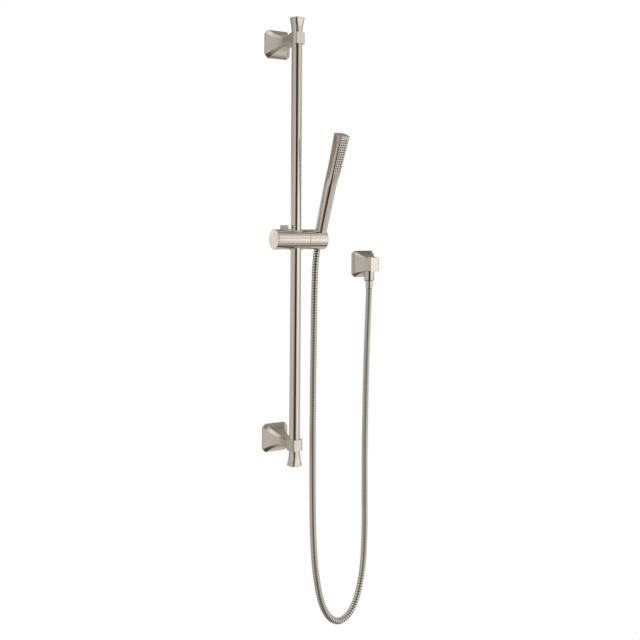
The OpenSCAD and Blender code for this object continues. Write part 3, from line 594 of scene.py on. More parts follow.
def make_slider():
    body = lathe("slider_skin", disc_profile(SL_R, SL_LEFT, SL_RIGHT, 0.35), ALONG_X, 160)
    room = WEDGE_X + WEDGE_SLOPE * (BUTTON_BASE + STEM_ROOT) + PLAY
    cut(body,
        cylinder("sleeve bore", SLEEVE_R + RUN_FIT, -50, 50, AT_SLIDER, 96),
        cylinder("upper seat", TRIM_R + RUN_FIT, TRIM_BASE, 50, AT_SLIDER, 128),
        cylinder("lower seat", TRIM_R + RUN_FIT, -50, -TRIM_BASE, AT_SLIDER, 128),
        cylinder("button bore", BUTTON_R + PLAY, BUTTON_BASE - BUTTON_TRAVEL - PLAY, 50, BUTTON_AXIS, 96),
        block("stem room", (-room, -STEM_W / 2 - PLAY, -STEM_BOTTOM - BUTTON_TRAVEL - PLAY),
              (PLAY - STEM_RIGHT, STEM_W / 2 + PLAY, BUTTON_BASE), AT_SLIDER),
        cylinder("shoe guide", SHOE_R + RUN_FIT, SL_LEFT + 1, 0, ALONG_X),
        cylinder("spigot seat", SPIGOT_R + RUN_FIT, SL_LEFT - 1, SL_LEFT + SPIGOT_LEN, ALONG_X, 96),
        cylinder("washer seat", POCKET_R + RUN_FIT, SL_RIGHT - 1.5, SL_RIGHT + 1, ALONG_X),
        cylinder("bolt bore", BOLT_R + RUN_FIT, 12, SL_RIGHT + 1, ALONG_X))
    stands_for(body, "slider_body", "turned_x")


def make_end_cap():
    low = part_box("slider_end_cap")[0].x / MM
    cap = vectors((0, low), (SL_R, low), (SL_R, SL_LEFT), (SPIGOT_R, SL_LEFT))
    spigot = vectors((SPIGOT_R, SL_LEFT), (SPIGOT_R, SL_LEFT + SPIGOT_LEN - 0.4),
                     (SPIGOT_R - 0.4, SL_LEFT + SPIGOT_LEN))
    profile = soften(cap, 0.7, closed=False)[1:-1] + spigot
    stands_for(lathe("end_cap_skin", profile, ALONG_X, 160), "slider_end_cap", "turned_x")


def make_trim_ring(node, way):
    """Collar round the bar whose top follows the slider's curve."""
    rings = []
    for turn in turns(144):

        def top(r):
            return math.sqrt(SADDLE_R ** 2 - (r * math.sin(turn)) ** 2)
        section = soften(vectors((TRIM_BORE, TRIM_BASE), (TRIM_R, TRIM_BASE),
                                 (TRIM_R, top(TRIM_R)), (TRIM_BORE, top(TRIM_BORE))), 0.45)
        rings.append([AT_SLIDER @ (Vector((p.x * math.cos(turn), p.x * math.sin(turn), way * p.y)) * MM)
                      for p in section])
    stands_for(lofted(node + "_skin", rings, closed=True), node, "grey_plastic")


def make_button():
    """Ribbed thumb button with a wedge-shaped stem."""
    edge = 0.9
    levels = [(BUTTON_BASE + (BUTTON_TOP - edge - BUTTON_BASE) * k / 4, 0.0) for k in range(5)]
    levels += top_levels(BUTTON_TOP, edge, 5, 1) + [(BUTTON_TOP - 0.12, 3.0), (BUTTON_TOP - 0.22, 5.5)]
    rings = []
    for z, inset in levels:
        ring = []
        for turn in turns(240):
            r = BUTTON_R - RIB_DEPTH / 2 * (1 - math.cos(BUTTON_RIBS * turn)) * (1 - inset / 8)
            ring.append(Vector(((r - inset) * math.cos(turn), (r - inset) * math.sin(turn))))
        rings.append(placed(BUTTON_AXIS, ring, z))
    button = lofted("button_skin", rings)
    top = BUTTON_BASE + STEM_ROOT
    side = vectors((-STEM_RIGHT, -STEM_BOTTOM), (-STEM_RIGHT, top),
                   (-WEDGE_X - WEDGE_SLOPE * top, top),
                   (-WEDGE_X + WEDGE_SLOPE * STEM_BOTTOM, -STEM_BOTTOM))
    stem = lofted("stem", [[AT_SLIDER @ (Vector((p.x, y, p.y)) * MM) for p in side]
                           for y in (-STEM_W / 2, STEM_W / 2)])
    join(button, stem)
    stands_for(button, "release_button", "grey_plastic")


SEAT_R, SEAT_TAPER = 11.2, 0.069
CRADLE_LEFT, CRADLE_RIGHT = CRADLE_LOW.x / MM, CRADLE_HIGH.x / MM
SLOT_W, BOLT_FLOOR = 17.0, 13.7


def make_cradle():
    low, high = CRADLE_LEFT, CRADLE_RIGHT
    cradle = lathe("cradle_skin", disc_profile(SL_R, low, high, 0.9), ALONG_X, 160)
    reach = SL_R + 1
    cut(cradle,
        cone("seat", SEAT_R - SEAT_TAPER * reach, SEAT_R + SEAT_TAPER * reach, -reach, reach, ON_HANDSET),
        block("slot", (0, -SLOT_W / 2, -reach), (high, SLOT_W / 2, reach), ON_HANDSET),
        cylinder("bolt bore", BOLT_R + RUN_FIT, low - 1, low + BOLT_FLOOR + 1, ALONG_X),
        cylinder("bolt head room", BOLT_HEAD_ROOM, low + BOLT_FLOOR, CRADLE_X / MM, ALONG_X))
    stands_for(cradle, "cradle", "turned_x")


# ---------- handset ----------

NUT_FOOT, HANDLE_FOOT, HANDLE_R, HANDLE_GROWS = -17.0, 15.0, 12.05, 0.7
PLATE_W, PLATE_H, PLATE_DEEP, MAT_T, PLATE_FOOT = 15.2, 73.0, 2.0, 1.5, 148.5
HEAD_TOP = PLATE_FOOT + PLATE_H + 4.5
SQUARE_FROM = PLATE_FOOT + 1.5
ROUND_TO = SQUARE_FROM - 35
HEAD_HALF, HEAD_WIDENS, HEAD_FRONT, HEAD_BACK, HEAD_CUT = 11.5, 1.8, 14.8, 10.2, 3.5
FACE_TILT = math.radians(2.9)
FACE_T = PLATE_FOOT + PLATE_H / 2
NOZZLE_COLS, NOZZLE_ROWS, NOZZLE_R = 3, 14, 1.2
COL_PITCH, ROW_PITCH = (PLATE_W - 5.8) / (NOZZLE_COLS - 1), (PLATE_H - 8.6) / (NOZZLE_ROWS - 1)
SHELL_WALL, HOLLOW_INSET, PLATE_ROOM, MAT_ROOM = 1.7, 2.0, 0.15, 0.2
NUT_THREAD_R, UPPER_FERRULE_R, UPPER_FLANGE_R, SEAT_PLAY = 10.4, 8.0, 9.2, 0.08


def front_at(t):
    return HEAD_FRONT + (t - PLATE_FOOT) * math.tan(FACE_TILT)


ON_FACE = (ON_HANDSET @ Matrix.Translation((0, -front_at(FACE_T) * MM, FACE_T * MM))
           @ Matrix.Rotation(FACE_TILT, 4, "X"))


def head_edge(t):
    """How far the head's corners are softened: much where it grows out of the handle, little at its top."""
    s = max(0, t - SQUARE_FROM) / (HEAD_TOP - SQUARE_FROM)
    return 0.8 + 2.4 * (1 - s) ** 1.5


def head_ring(t, inset):
    """Outline of the handset at height t: round for the hand, square with cut corners at the head."""
    square = min(1, max(0, (t - ROUND_TO) / (SQUARE_FROM - ROUND_TO)))
    square = square * square * (3 - 2 * square)
    s = max(0, t - SQUARE_FROM) / (HEAD_TOP - SQUARE_FROM)
    shape = corners(HEAD_HALF + HEAD_WIDENS * s ** 1.6 - inset, -front_at(t) + inset,
                    HEAD_BACK - 1.5 * s - inset, HEAD_CUT + 0.7 * s * s - inset / 2,
                    HEAD_BACK / 2 - inset / 2)
    r = HANDLE_R + HANDLE_GROWS * min(1, t / ROUND_TO) - inset
    return [ON_HANDSET @ (Vector((q.x, q.y, t)) * MM)
            for q in (p * square + p.normalized() * (r * (1 - square))
                      for p in dense(soften(shape, head_edge(t), 6), 3))]


def plate_block(name, room, near, far, edge=0.0):
    """Block with the spray plate's outline, larger by this room on every side."""
    x, z = PLATE_W / 2 + room, PLATE_H / 2 + room
    return block(name, (-x, near, -z), (x, far, z), ON_FACE, edge)


def make_handset_shell():
    rim, foot_edge = 0.8, 0.5
    rings = [head_ring(HANDLE_FOOT + foot_edge * (1 - math.cos(a)), foot_edge * (1 - math.sin(a)))
             for a in quarter(3)]
    for low, high, first, steps in ((HANDLE_FOOT + 1, ROUND_TO, 0, 10), (ROUND_TO, SQUARE_FROM, 1, 20),
                                    (SQUARE_FROM, HEAD_TOP - rim, 1, 16)):
        rings += [head_ring(low + (high - low) * i / steps, 0) for i in range(first, steps + 1)]
    rings += [head_ring(t, inset) for t, inset in top_levels(HEAD_TOP, rim, 4, 1)]
    shell = lofted("handset_skin", rings)
    bore_top = ROUND_TO - 15
    hollow = [head_ring(bore_top + (HEAD_TOP - SHELL_WALL - bore_top) * i / 16, HOLLOW_INSET)
              for i in range(17)]
    cut(shell, lofted("hollow", hollow),
        cylinder("thread bore", NUT_THREAD_R, HANDLE_FOOT - 1, bore_top + 1, ON_HANDSET),
        plate_block("plate opening", PLATE_ROOM, -1, 8))
    stands_for(shell, "handset_shell", "handset")


def nozzle_places():
    for c in range(NOZZLE_COLS):
        for r in range(NOZZLE_ROWS):
            yield ON_FACE @ Matrix.Translation(((c - (NOZZLE_COLS - 1) / 2) * COL_PITCH * MM, 0,
                                                (r - (NOZZLE_ROWS - 1) / 2) * ROW_PITCH * MM)) @ OUT


def merged(name, pieces):
    """One object made of several."""
    bm = bmesh.new()
    for piece in pieces:
        bm.from_mesh(piece.data)
        bpy.data.objects.remove(piece)
    mesh = bpy.data.meshes.new(name)
    bm.to_mesh(mesh)
    bm.free()
    return linked(name, mesh)


def make_spray_plate():
    plate = plate_block("plate_skin", 0, 0, PLATE_DEEP, 0.3)
    holes = merged("holes", [cylinder("hole", NOZZLE_R, -PLATE_DEEP - 1, 1, place, 24)
                             for place in nozzle_places()])
    cut(plate, holes)
    stands_for(plate, "spray_plate", "plate")


def make_nozzles():
    """Rubber mat behind the plate with a soft tip in every hole."""
    mat = plate_block("mat", -MAT_ROOM, PLATE_DEEP, PLATE_DEEP + MAT_T)
    r, lip, proud, hole, root = NOZZLE_R - RUN_FIT, 0.35, 0.6, 0.45, -PLATE_DEEP - MAT_T / 2
    profile = vectors(
        (0.01, root), (r, root), (r, 0.02), (r + lip, 0.06), (r + lip - 0.1, proud - 0.1), (hole, proud),
        (hole - 0.1, proud - 0.8), (0.01, proud - 0.8))
    tips = [lathe("tip", soften(profile, 0.22, 3, closed=False), place, 20) for place in nozzle_places()]
    stands_for(merged("nozzles_skin", [mat] + tips), "nozzle_mat", "black_rubber")


def make_cone_nut():
    """Tapered nut that sits in the cradle and closes the handle."""
    def seat(t):
        return SEAT_R + SEAT_TAPER * t - SEAT_PLAY
    hose_way, flange_way = UPPER_FERRULE_R + 2 * RUN_FIT, UPPER_FLANGE_R + RUN_FIT
    thread_end, lip_top = 2.0, -1.1
    profile = soften(vectors(
        (hose_way, NUT_FOOT), (seat(NUT_FOOT), NUT_FOOT), (seat(HANDLE_FOOT), HANDLE_FOOT),
        (NUT_THREAD_R, HANDLE_FOOT), (NUT_THREAD_R, thread_end), (flange_way, thread_end),
        (flange_way, lip_top), (hose_way, lip_top)), 0.4)
    stands_for(lathe("cone_nut_skin", profile, ON_HANDSET, 128, closed=True), "cone_nut", "handset")


# ---------- hose fittings and the outlet elbow ----------

FERRULE_BORE = HOSE_D / MM / 2 + RUN_FIT
LOWER_FERRULE_R, COUPLING_R, NUT_LIP, NIPPLE_R = 8.2, 10.3, 5.0, 9.2


def make_ferrules():
    foot, top = -19.05, -1.05
    upper = lathe("upper_ferrule_skin", ring_profile(FERRULE_BORE, UPPER_FERRULE_R, foot, top, 0.6),
                  ON_HANDSET, 96, closed=True)
    stands_for(upper, "upper_ferrule", "turned_z")
    low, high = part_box("lower_ferrule")
    profile = ring_profile(FERRULE_BORE, LOWER_FERRULE_R, low.z / MM, high.z / MM, 0.6)
    lower = lathe("lower_ferrule_skin", profile, AT_OUTLET, 96, closed=True)
    stands_for(lower, "lower_ferrule", "turned_z")


def make_hose_nut():
    low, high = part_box("hose_nut")
    z0, z1, r = low.z / MM, high.z / MM, (high.x - low.x) / 2 / MM
    bore, thread, lip = LOWER_FERRULE_R + RUN_FIT, COUPLING_R + RUN_FIT, z0 + NUT_LIP
    profile = soften(vectors((bore, z0), (r - 1.6, z0), (r, z0 + 2.2), (r, z1), (thread, z1),
                             (thread, lip), (bore, lip)), 0.35)
    stands_for(lathe("hose_nut_skin", profile, AT_OUTLET, 128, closed=True), "hose_nut", "turned_z")


BLOCK_W, BLOCK_H, BLOCK_FRONT, BLOCK_CUT, ELBOW_REACH, SECTION_CUT = 29.6, 31.0, 49.0, 4.1, 39.3, 1.5
ELBOW_FLANGE, INLET_R, INLET_LEN, WATERWAY_R, WATERWAY_LEN = 58.5, 9.3, 15, 7, 34.7
GASKET_IN, GASKET_OUT, GASKET_DEEP, NUT_ROOM_R, PORT_R = 11.5, 15.0, 2.5, 11.9, 5.0


def make_elbow():
    """Cast outlet: a swept flange, a block with cut front edges, and the hose nut's seat below."""
    place = Matrix.Translation((ELBOW.x, 0, ELBOW.z)) @ OUT
    front = BLOCK_FRONT - BLOCK_CUT
    section = (ELBOW_FLANGE, BLOCK_W / 2, BLOCK_H / 2, ELBOW_REACH, FLANGE_CUT, SECTION_CUT)
    rings = flare_rings(*section, sweep_depths(front, 36), 0, place, 0.6)
    for d, narrower, shorter in ((front + 0.35, 0.2, 0), (BLOCK_FRONT - 0.5, BLOCK_CUT - 0.5, 0),
                                 (BLOCK_FRONT - 0.12, BLOCK_CUT - 0.05, 0.12),
                                 (BLOCK_FRONT, BLOCK_CUT + 0.4, 0.5)):
        outline = soften(corners(BLOCK_W / 2 - narrower, shorter - BLOCK_H / 2, BLOCK_H / 2 - shorter,
                                 SECTION_CUT, SECTION_CUT), 0.6)
        rings.append(placed(place, outline, d))
    elbow = lofted("elbow_skin", rings)
    roof = RIM + 8
    core = lofted("core", flare_rings(*section, core_depths(roof, 6), CASTING_WALL, place))
    cut(core, cylinder("boss", BOSS_R, -2, roof + 5, place, 96))
    groove = lathe("groove", vectors((GASKET_IN, -1), (GASKET_OUT, -1),
                                     (GASKET_OUT, GASKET_DEEP), (GASKET_IN, GASKET_DEEP)),
                   place, 96, closed=True)
    nut_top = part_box("hose_nut")[1].z / MM
    elbow_z = ELBOW.z / MM
    cut(elbow, core, cylinder("inlet", INLET_R, -1, INLET_LEN, place),
        cylinder("waterway", WATERWAY_R, -1, WATERWAY_LEN, place), groove,
        cylinder("nut room", NUT_ROOM_R, elbow_z - ELBOW_FLANGE, nut_top, AT_OUTLET, 96),
        cylinder("nipple bore", NIPPLE_R + RUN_FIT, nut_top - 1, elbow_z - 4, AT_OUTLET),
        cylinder("port", PORT_R, nut_top, elbow_z, AT_OUTLET))
    stands_for(elbow, "elbow_body", "cast")


# ---------- materials ----------

MATERIALS = {}


def new_material(name):
    material = bpy.data.materials.new(name)
    material.use_nodes = True
    tree = material.node_tree
    return material, tree, tree.nodes["Principled BSDF"]


def add(tree, kind, links=(), inputs=(), **values):
    """Shader node of a kind; links and inputs give sources and values by the socket's name or number."""
    node = tree.nodes.new("ShaderNode" + kind)
    for key, value in dict(inputs).items():
        node.inputs[key].default_value = value
    for key, value in values.items():
        setattr(node, key, value)
    for key, source in dict(links).items():
        tree.links.new(source, node.inputs[key])
    return node


def noise(tree, stretch, turn=(0, 0, 0), detail=3.0):
    """Noise in the object's own space; stretch is how many marks fit in a metre along each axis."""
    where = add(tree, "TexCoord").outputs["Object"]
    spin = add(tree, "Mapping", {"Vector": where}, {"Rotation": turn}).outputs[0]
    scale = add(tree, "Mapping", {"Vector": spin}, {"Scale": stretch}).outputs[0]
    texture = add(tree, "TexNoise", {"Vector": scale},
                  {"Scale": 1.0, "Detail": detail, "Roughness": 0.6})
    return texture.outputs["Fac"]


def ranged(tree, source, low, high, from_low=0.3, from_high=0.7):
    node = add(tree, "MapRange", {0: source}, {1: from_low, 2: from_high, 3: low, 4: high})
    return node.outputs[0]


def maths(tree, operation, a, b):
    """Math node of a source and either another source or a number."""
    node = add(tree, "Math", {0: a}, operation=operation)
    if isinstance(b, bpy.types.NodeSocket):
        tree.links.new(b, node.inputs[1])
    else:
        node.inputs[1].default_value = b
    return node.outputs[0]


def total(tree, value, *others):
    for other in others:
        value = maths(tree, "ADD", value, other)
    return value


def mixed(tree, factor, a, b):
    """Colour between a and b."""
    node = add(tree, "Mix", data_type="RGBA")
    for socket, value in ((node.inputs[6], a), (node.inputs[7], b)):
        if isinstance(value, bpy.types.NodeSocket):
            tree.links.new(value, socket)
        else:
            socket.default_value = (*value, 1.0)
    tree.links.new(factor, node.inputs[0])
    return node.outputs[2]


FLAT_POINTINESS, EDGE_POINTINESS = 0.515, 0.56


def worn_edges(tree):
    """How far a place is an outer edge, from 0 to 1."""
    where = add(tree, "NewGeometry")
    return ranged(tree, where.outputs["Pointiness"], 0.0, 1.0, FLAT_POINTINESS, EDGE_POINTINESS)


def bump(tree, shader, height, depth, strength):
    node = add(tree, "Bump", {"Height": height}, {"Strength": strength, "Distance": depth})
    tree.links.new(node.outputs[0], shader.inputs["Normal"])


def metal(name, colour, roughness, grain, turn=(0, 0, 0), depth=0.00001, dark=0.94, painted_groove_shade=None):
    """Brushed metal: fine marks along the grain, cloudier and clearer patches, brighter worn edges, and
    painted shade between the ribs when painted_groove_shade is given.
    """
    material, tree, shader = new_material(name)
    shader.inputs["Metallic"].default_value = 1.0
    marks = noise(tree, grain, turn, 4.0)
    broad = noise(tree, (38, 38, 38), detail=2.0)
    patches = noise(tree, (9, 9, 9), detail=1.0)
    edges = worn_edges(tree)
    grained = mixed(tree, ranged(tree, marks, 0, 1, 0.25, 0.75), [c * dark for c in colour], colour)
    tinted = mixed(tree, ranged(tree, patches, 0, 0.35), grained,
                   (colour[0] * 1.03, colour[1] * 0.99, colour[2] * 0.95))
    lit = mixed(tree, edges, tinted, [min(1, c * 1.18) for c in colour])
    # Painted shade: the hollows between the hose's ribs are darkened toward this colour by their depth,
    # standing in for the shade that falls inside them.
    if painted_groove_shade:
        depth_in = add(tree, "Attribute", attribute_name="groove")
        lit = mixed(tree, ranged(tree, depth_in.outputs["Fac"], 0, 1, 0.30, 0.85), lit, painted_groove_shade)
    tree.links.new(lit, shader.inputs["Base Color"])
    rough = total(tree, ranged(tree, marks, roughness - 0.05, roughness + 0.05),
                  ranged(tree, broad, -0.02, 0.03), ranged(tree, edges, 0, -0.03, 0, 1))
    tree.links.new(rough, shader.inputs["Roughness"])
    bump(tree, shader, marks, depth, 0.12)
    return material


def moulded(name, colour, roughness, coat=0.0, edge_tint=(0.72, 0.70, 0.67)):
    """Moulded plastic or rubber: fine eggshell, faint mottling, a lighter tint on the outer edges."""
    material, tree, shader = new_material(name)
    fine = noise(tree, (1400, 1400, 1400), detail=2.0)
    broad = noise(tree, (60, 60, 60), detail=3.0)
    edges = worn_edges(tree)
    base = mixed(tree, ranged(tree, broad, 0, 1), [c * 0.93 for c in colour],
                 [min(1, c * 1.05) for c in colour])
    lit = mixed(tree, ranged(tree, edges, 0, 0.45, 0, 1), base, edge_tint)
    tree.links.new(lit, shader.inputs["Base Color"])
    rough = total(tree, ranged(tree, broad, roughness - 0.06, roughness + 0.06),
                  ranged(tree, fine, -0.02, 0.02))
    tree.links.new(rough, shader.inputs["Roughness"])
    shader.inputs["Coat Weight"].default_value = coat
    shader.inputs["Coat Roughness"].default_value = 0.2
    bump(tree, shader, fine, 0.00004, 0.2)
    return material


NICKEL = (0.655, 0.600, 0.530)
ALONG_HANDSET = (-LEAN, 0, 0)


def make_materials():
    MATERIALS.update(
        bar=metal("nickel_bar", NICKEL, 0.13, (60, 60, 5200)),
        cast=metal("nickel_cast", NICKEL, 0.21, (2600, 900, 500), depth=0.000015),
        turned_x=metal("nickel_slider", NICKEL, 0.10, (5200, 60, 60)),
        turned_z=metal("nickel_fittings", NICKEL, 0.13, (60, 60, 5200)),
        handset=metal("nickel_handset", NICKEL, 0.13, (70, 70, 4200), ALONG_HANDSET),
        plate=metal("nickel_plate", (0.68, 0.63, 0.56), 0.22, (4800, 300, 300), ALONG_HANDSET),
        # The hose gets painted shade, nearly black, in the hollows between its ribs.
        hose=metal("nickel_hose", (0.82, 0.77, 0.70), 0.12, (900, 900, 900), dark=0.85,
                   painted_groove_shade=(0.012, 0.010, 0.008)),
        steel=metal("steel", (0.62, 0.62, 0.61), 0.28, (1500, 1500, 1500)),
        brass=metal("brass", (0.78, 0.60, 0.30), 0.26, (60, 60, 4000)),
        grey_plastic=moulded("grey_plastic", (0.33, 0.325, 0.31), 0.34, coat=0.2),
        white_plastic=moulded("white_plastic", (0.80, 0.80, 0.77), 0.42),
        black_rubber=moulded("black_rubber", (0.012, 0.012, 0.012), 0.72, edge_tint=(0.03, 0.03, 0.03)))


SLOT_MATERIAL = {"brushed_nickel": "cast", "hose_jacket": "hose"}


def dress_cad_nodes():
    """Gives every CAD node the material of its slot."""
    for node, obj in frame["nodes"].items():
        for place in obj.material_slots:
            slot = place.material.name.split(".")[0] if place.material else "brushed_nickel"
            place.material = MATERIALS[NODE_MATERIAL.get(node, SLOT_MATERIAL.get(slot, "cast"))]
        if not obj.material_slots:
            obj.data.materials.append(MATERIALS[NODE_MATERIAL.get(node, "cast")])


NODE_MATERIAL = {
    node: material for material, nodes in {
        "steel": ("upper_wall_plate", "lower_wall_plate", "bracket_set_screws", "spring_washer",
                  "shoe_spring", "check_valve_spring", "pivot_bolt"),
        "brass": ("upper_bar_plug", "lower_bar_plug", "upper_hose_insert", "lower_hose_insert",
                  "outlet_nipple", "handset_tail"),
        "white_plastic": ("friction_sleeve", "friction_washer", "flow_regulator", "waterway_tube",
                          "spray_chamber", "check_valve_body"),
        "grey_plastic": ("brake_shoe", "check_valve_poppet"),
        "black_rubber": ("upper_hose_washer", "lower_hose_washer", "elbow_gasket"),
    }.items() for node in nodes}


# ---------- studio ----------

FLOOR_Z = -1.0


def toward_azimuth(tree, direction):
    """Share of a full turn, 0.5 toward CAMERA_AT and rising to its right, and the direction's height."""
    x, y, height = add(tree, "SeparateXYZ", {0: direction}).outputs
    right, back = (
        total(tree, maths(tree, "MULTIPLY", x, across), maths(tree, "MULTIPLY", y, along))
        for across, along in ((math.cos(CAMERA_YAW), -math.sin(CAMERA_YAW)),
                              (-math.sin(CAMERA_YAW), -math.cos(CAMERA_YAW))))
    return ranged(tree, maths(tree, "ARCTAN2", right, back), 0, 1, -math.pi, math.pi), height


def ramp(tree, source, stops):
    """Colour ramp through (place, colour) pairs."""
    node = add(tree, "ValToRGB", {0: source})
    elements = node.color_ramp.elements
    for i, (place, colour) in enumerate(stops):
        element = elements[i] if i < 2 else elements.new(place)
        element.position = place
        element.color = (*colour, 1.0)
    return node.outputs[0]


# What the metal mirrors: rows of the studio from the floor up to the ceiling. Each row is a height, the
# sine of its angle above the horizon, and brightnesses at angles to the right of CAMERA_AT, in degrees.
# They were first read off the metal in the photograph, with a scratch program, and then changed by hand.
STUDIO_ROWS = [
    (-0.94, [(-180, 0.2), (-100, 0.18), (-40, 0.08), (40, 0.08), (120, 0.2), (180, 0.2)]),
    (-0.85, [(-180, 0.55), (-150, 0.4), (-90, 0.42), (-57, 0.4), (-30, 0.3), (0, 0.12), (40, 0.1),
        (90, 0.4), (104, 0.12), (122, 0.12), (134, 0.85), (155, 0.9), (168, 0.75), (180, 0.6)]),
    (-0.77, [(-180, 0.6), (-150, 0.38), (-100, 0.38), (-76, 0.55), (-60, 0.55), (-40, 0.45), (-25, 0.2),
        (-12, 0.05), (25, 0.05), (42, 0.1), (55, 0.3), (70, 0.5), (90, 0.6), (105, 0.4), (122, 0.35),
        (150, 0.86), (168, 0.8), (180, 0.66)]),
    (-0.64, [(-180, 0.6), (-150, 0.38), (-100, 0.4), (-72, 0.7), (-54, 0.98), (-40, 0.9), (-26, 0.65),
        (-17, 0.25), (-10, 0.05), (30, 0.05), (36, 0.35), (42, 0.85), (56, 0.7), (64, 0.5), (71, 0.55),
        (115, 0.75), (150, 0.42), (165, 0.45), (180, 0.6)]),
    (-0.45, [(-180, 0.6), (-150, 0.42), (-110, 0.42), (-72, 0.6), (-60, 0.86), (-46, 0.85), (-39, 0.66),
        (-32, 0.34), (-20, 0.16), (-12, 0.04), (20, 0.04), (28, 0.35), (35, 0.85), (50, 0.85), (58, 0.6),
        (63, 0.85), (68, 1.08), (73, 0.8), (82, 0.75), (115, 0.9), (150, 0.45), (180, 0.6)]),
    (-0.21, [(-180, 0.38), (-150, 0.66), (-126, 0.4), (-120, 0.26), (-118.6, 0.5), (-112, 0.66),
        (-72, 0.74), (-50, 0.72), (-36, 0.62), (-20, 0.25), (-10, 0.04), (18, 0.03), (27, 0.28), (34, 0.75),
        (46, 1.0), (61.5, 0.84), (63.5, 1.3), (70, 1.35), (82, 0.98), (100, 0.8), (130, 0.7), (160, 0.55),
        (180, 0.38)]),
    (0.01, [(-180, 0.4), (-150, 1.1), (-125, 1.22), (-118, 1.22), (-116.7, 0.42), (-115, 0.62), (-108, 0.6),
        (-95, 0.72), (-50, 0.7), (-32, 0.76), (-14, 0.7), (-7, 0.04), (20, 0.02), (27, 0.25), (34, 0.75),
        (42, 1.2), (64, 1.42), (82, 1.25), (92, 0.8), (112, 0.7), (130, 0.65), (160, 0.6), (180, 0.4)]),
    (0.07, [(-180, 0.38), (-150, 0.6), (-125, 0.4), (-118, 0.33), (-116.7, 0.34), (-115, 0.58),
        (-104, 0.52), (-92, 0.58), (-50, 0.62), (-38, 0.84), (-13, 0.84), (-9, 0.03), (24, 0.02), (31, 0.3),
        (38, 0.62), (47, 1.05), (58, 1.15), (66, 1.25), (74, 0.9), (90, 0.8), (103, 0.55), (112, 0.28),
        (124, 0.55), (150, 0.72), (180, 0.38)]),
    (0.18, [(-180, 0.38), (-130, 0.24), (-121, 0.16), (-119.3, 0.2), (-118, 0.36), (-105, 0.46),
        (-80, 0.64), (-40, 0.7), (-28, 0.62), (-16, 0.3), (-8, 0.02), (16, 0.02), (26, 0.18), (36, 0.45),
        (48, 0.76), (62, 0.76), (66, 1.1), (74, 1.0), (90, 0.85), (104, 0.35), (116, 0.95), (150, 0.75),
        (180, 0.38)]),
    (0.45, [(-180, 0.52), (-161, 0.36), (-144, 0.2), (-132, 0.25), (-122, 0.5), (-100, 0.8), (-42, 0.8),
        (-28, 0.7), (-18, 0.3), (-8, 0.05), (16, 0.05), (30, 0.4), (44, 0.7), (58, 1.05), (68, 1.25),
        (76, 0.9), (88, 0.5), (110, 0.5), (146, 0.6), (164, 0.3), (178, 0.3), (180, 0.4)]),
    (0.72, [(-180, 0.52), (-160, 0.5), (-130, 0.6), (-101, 1.0), (-82, 1.05), (-66, 0.8), (-49, 1.15),
        (-22, 0.95), (-12, 0.1), (0, 0.04), (16, 0.04), (30, 0.55), (44, 0.8), (64, 0.6), (78, 0.7),
        (92, 0.62), (108, 0.4), (126, 0.22), (164, 0.2), (174, 0.36), (180, 0.44)]),
    (0.86, [(-180, 0.6), (-84, 1.0), (-49, 1.25), (-24, 1.05), (-10, 0.15), (18, 0.12), (34, 0.6),
        (60, 0.7), (90, 0.6), (108, 0.36), (124, 0.16), (148, 0.16), (160, 0.5), (180, 0.6)]),
    (0.95, [(-180, 0.85), (-105, 0.92), (-78, 0.65), (-58, 1.1), (-35, 1.3), (-18, 1.25), (-6, 0.4),
        (18, 0.4), (40, 0.8), (100, 0.75), (180, 0.85)]),
]


def warmed(value):
    """Grey that turns warm as it gets dark."""
    warm = max(0.0, 1 - value / 0.6)
    return value * (1 + 0.10 * warm), value, value * (1 - 0.28 * warm)


def background_rays(tree):
    """1 for the rays that see the white background: from the camera, or through glass."""
    rays = add(tree, "LightPath").outputs
    return maths(tree, "MAXIMUM", rays["Is Camera Ray"], rays["Is Transmission Ray"])


def make_world():
    """White to the eye; what the metal mirrors is a studio of pale walls with dark gaps between them."""
    world = bpy.data.worlds.new("studio")
    bpy.context.scene.world = world
    world.use_nodes = True
    tree = world.node_tree
    out = tree.nodes["Background"]
    where = add(tree, "TexCoord")
    azimuth, height = toward_azimuth(tree, where.outputs["Generated"])
    rows = [(at, ramp(tree, azimuth, [((degrees + 180) / 360, warmed(value)) for degrees, value in stops]))
            for at, stops in STUDIO_ROWS]
    mirrored = rows[0][1]
    for (below, _), (at, row) in zip(rows, rows[1:]):
        mirrored = mixed(tree, ranged(tree, height, 0, 1, below, at), mirrored, row)
    glossy = add(tree, "LightPath").outputs["Is Glossy Ray"]
    soft = mixed(tree, glossy, (0.80, 0.80, 0.80), mirrored)
    tree.links.new(mixed(tree, background_rays(tree), soft, (1.0, 1.0, 1.0)), out.inputs["Color"])
    out.inputs["Strength"].default_value = 1.0


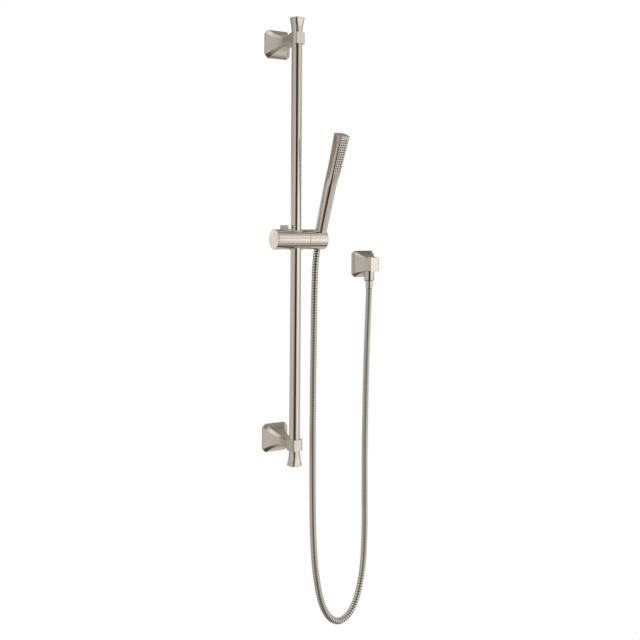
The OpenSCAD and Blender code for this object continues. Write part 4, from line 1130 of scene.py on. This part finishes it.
def make_floor():
    """Pale disc under the object that melts into the white background."""
    bm = bmesh.new()
    bmesh.ops.create_circle(bm, cap_ends=True, radius=30, segments=96)
    mesh = bpy.data.meshes.new("floor")
    bm.to_mesh(mesh)
    bm.free()
    floor = linked("floor", mesh)
    floor.location = (BAR.x, BAR.y, FLOOR_Z)
    material, tree, shader = new_material("floor")
    shader.inputs["Base Color"].default_value = (0.9, 0.9, 0.9, 1)
    shader.inputs["Roughness"].default_value = 0.9
    where = add(tree, "TexCoord").outputs["Object"]
    distance = add(tree, "VectorMath", {0: where}, operation="LENGTH")
    far = ranged(tree, distance.outputs["Value"], 0, 1, 0.4, 1.4)
    white = add(tree, "Emission", inputs={"Color": (1, 1, 1, 1), "Strength": 1.0})
    share = maths(tree, "MULTIPLY", far, background_rays(tree))
    mix = add(tree, "MixShader", {0: share, 1: shader.outputs[0], 2: white.outputs[0]})
    tree.links.new(mix.outputs[0], tree.nodes["Material Output"].inputs["Surface"])
    floor.data.materials.append(material)
    floor.visible_glossy = False


def make_lights():
    aim = Vector((0.1, -0.05, 0.2))
    for name, place, size, power in (("key", (-1.6, -1.6, 2.6), 1.6, 26), ("fill", (2.0, -1.8, 0.8), 1.6, 12),
                                     ("top", (0.2, -0.3, 2.4), 1.2, 10)):
        data = bpy.data.lights.new(name, "AREA")
        data.shape = "SQUARE"
        data.size = size
        data.energy = power
        light = linked(name, data)
        light.location = place
        light.rotation_euler = (aim - Vector(place)).to_track_quat("-Z", "Y").to_euler()
        light.visible_glossy = False
        light.visible_camera = False


# ---------- the scene ----------

make_camera()
make_materials()
make_hose()
dress_cad_nodes()
make_bracket("upper_bracket", UPPER_Z)
make_bracket("lower_bracket", LOWER_Z)
make_bar()
make_finial("upper_finial", BAR_HIGH.z, 1)
make_finial("lower_finial", BAR_LOW.z, -1)
make_slider()
make_end_cap()
make_trim_ring("upper_trim_ring", 1)
make_trim_ring("lower_trim_ring", -1)
make_button()
make_cradle()
make_cone_nut()
make_handset_shell()
make_spray_plate()
make_nozzles()
make_ferrules()
make_hose_nut()
make_elbow()
make_floor()
make_world()
make_lights()
bpy.context.scene.view_settings.view_transform = "Standard"
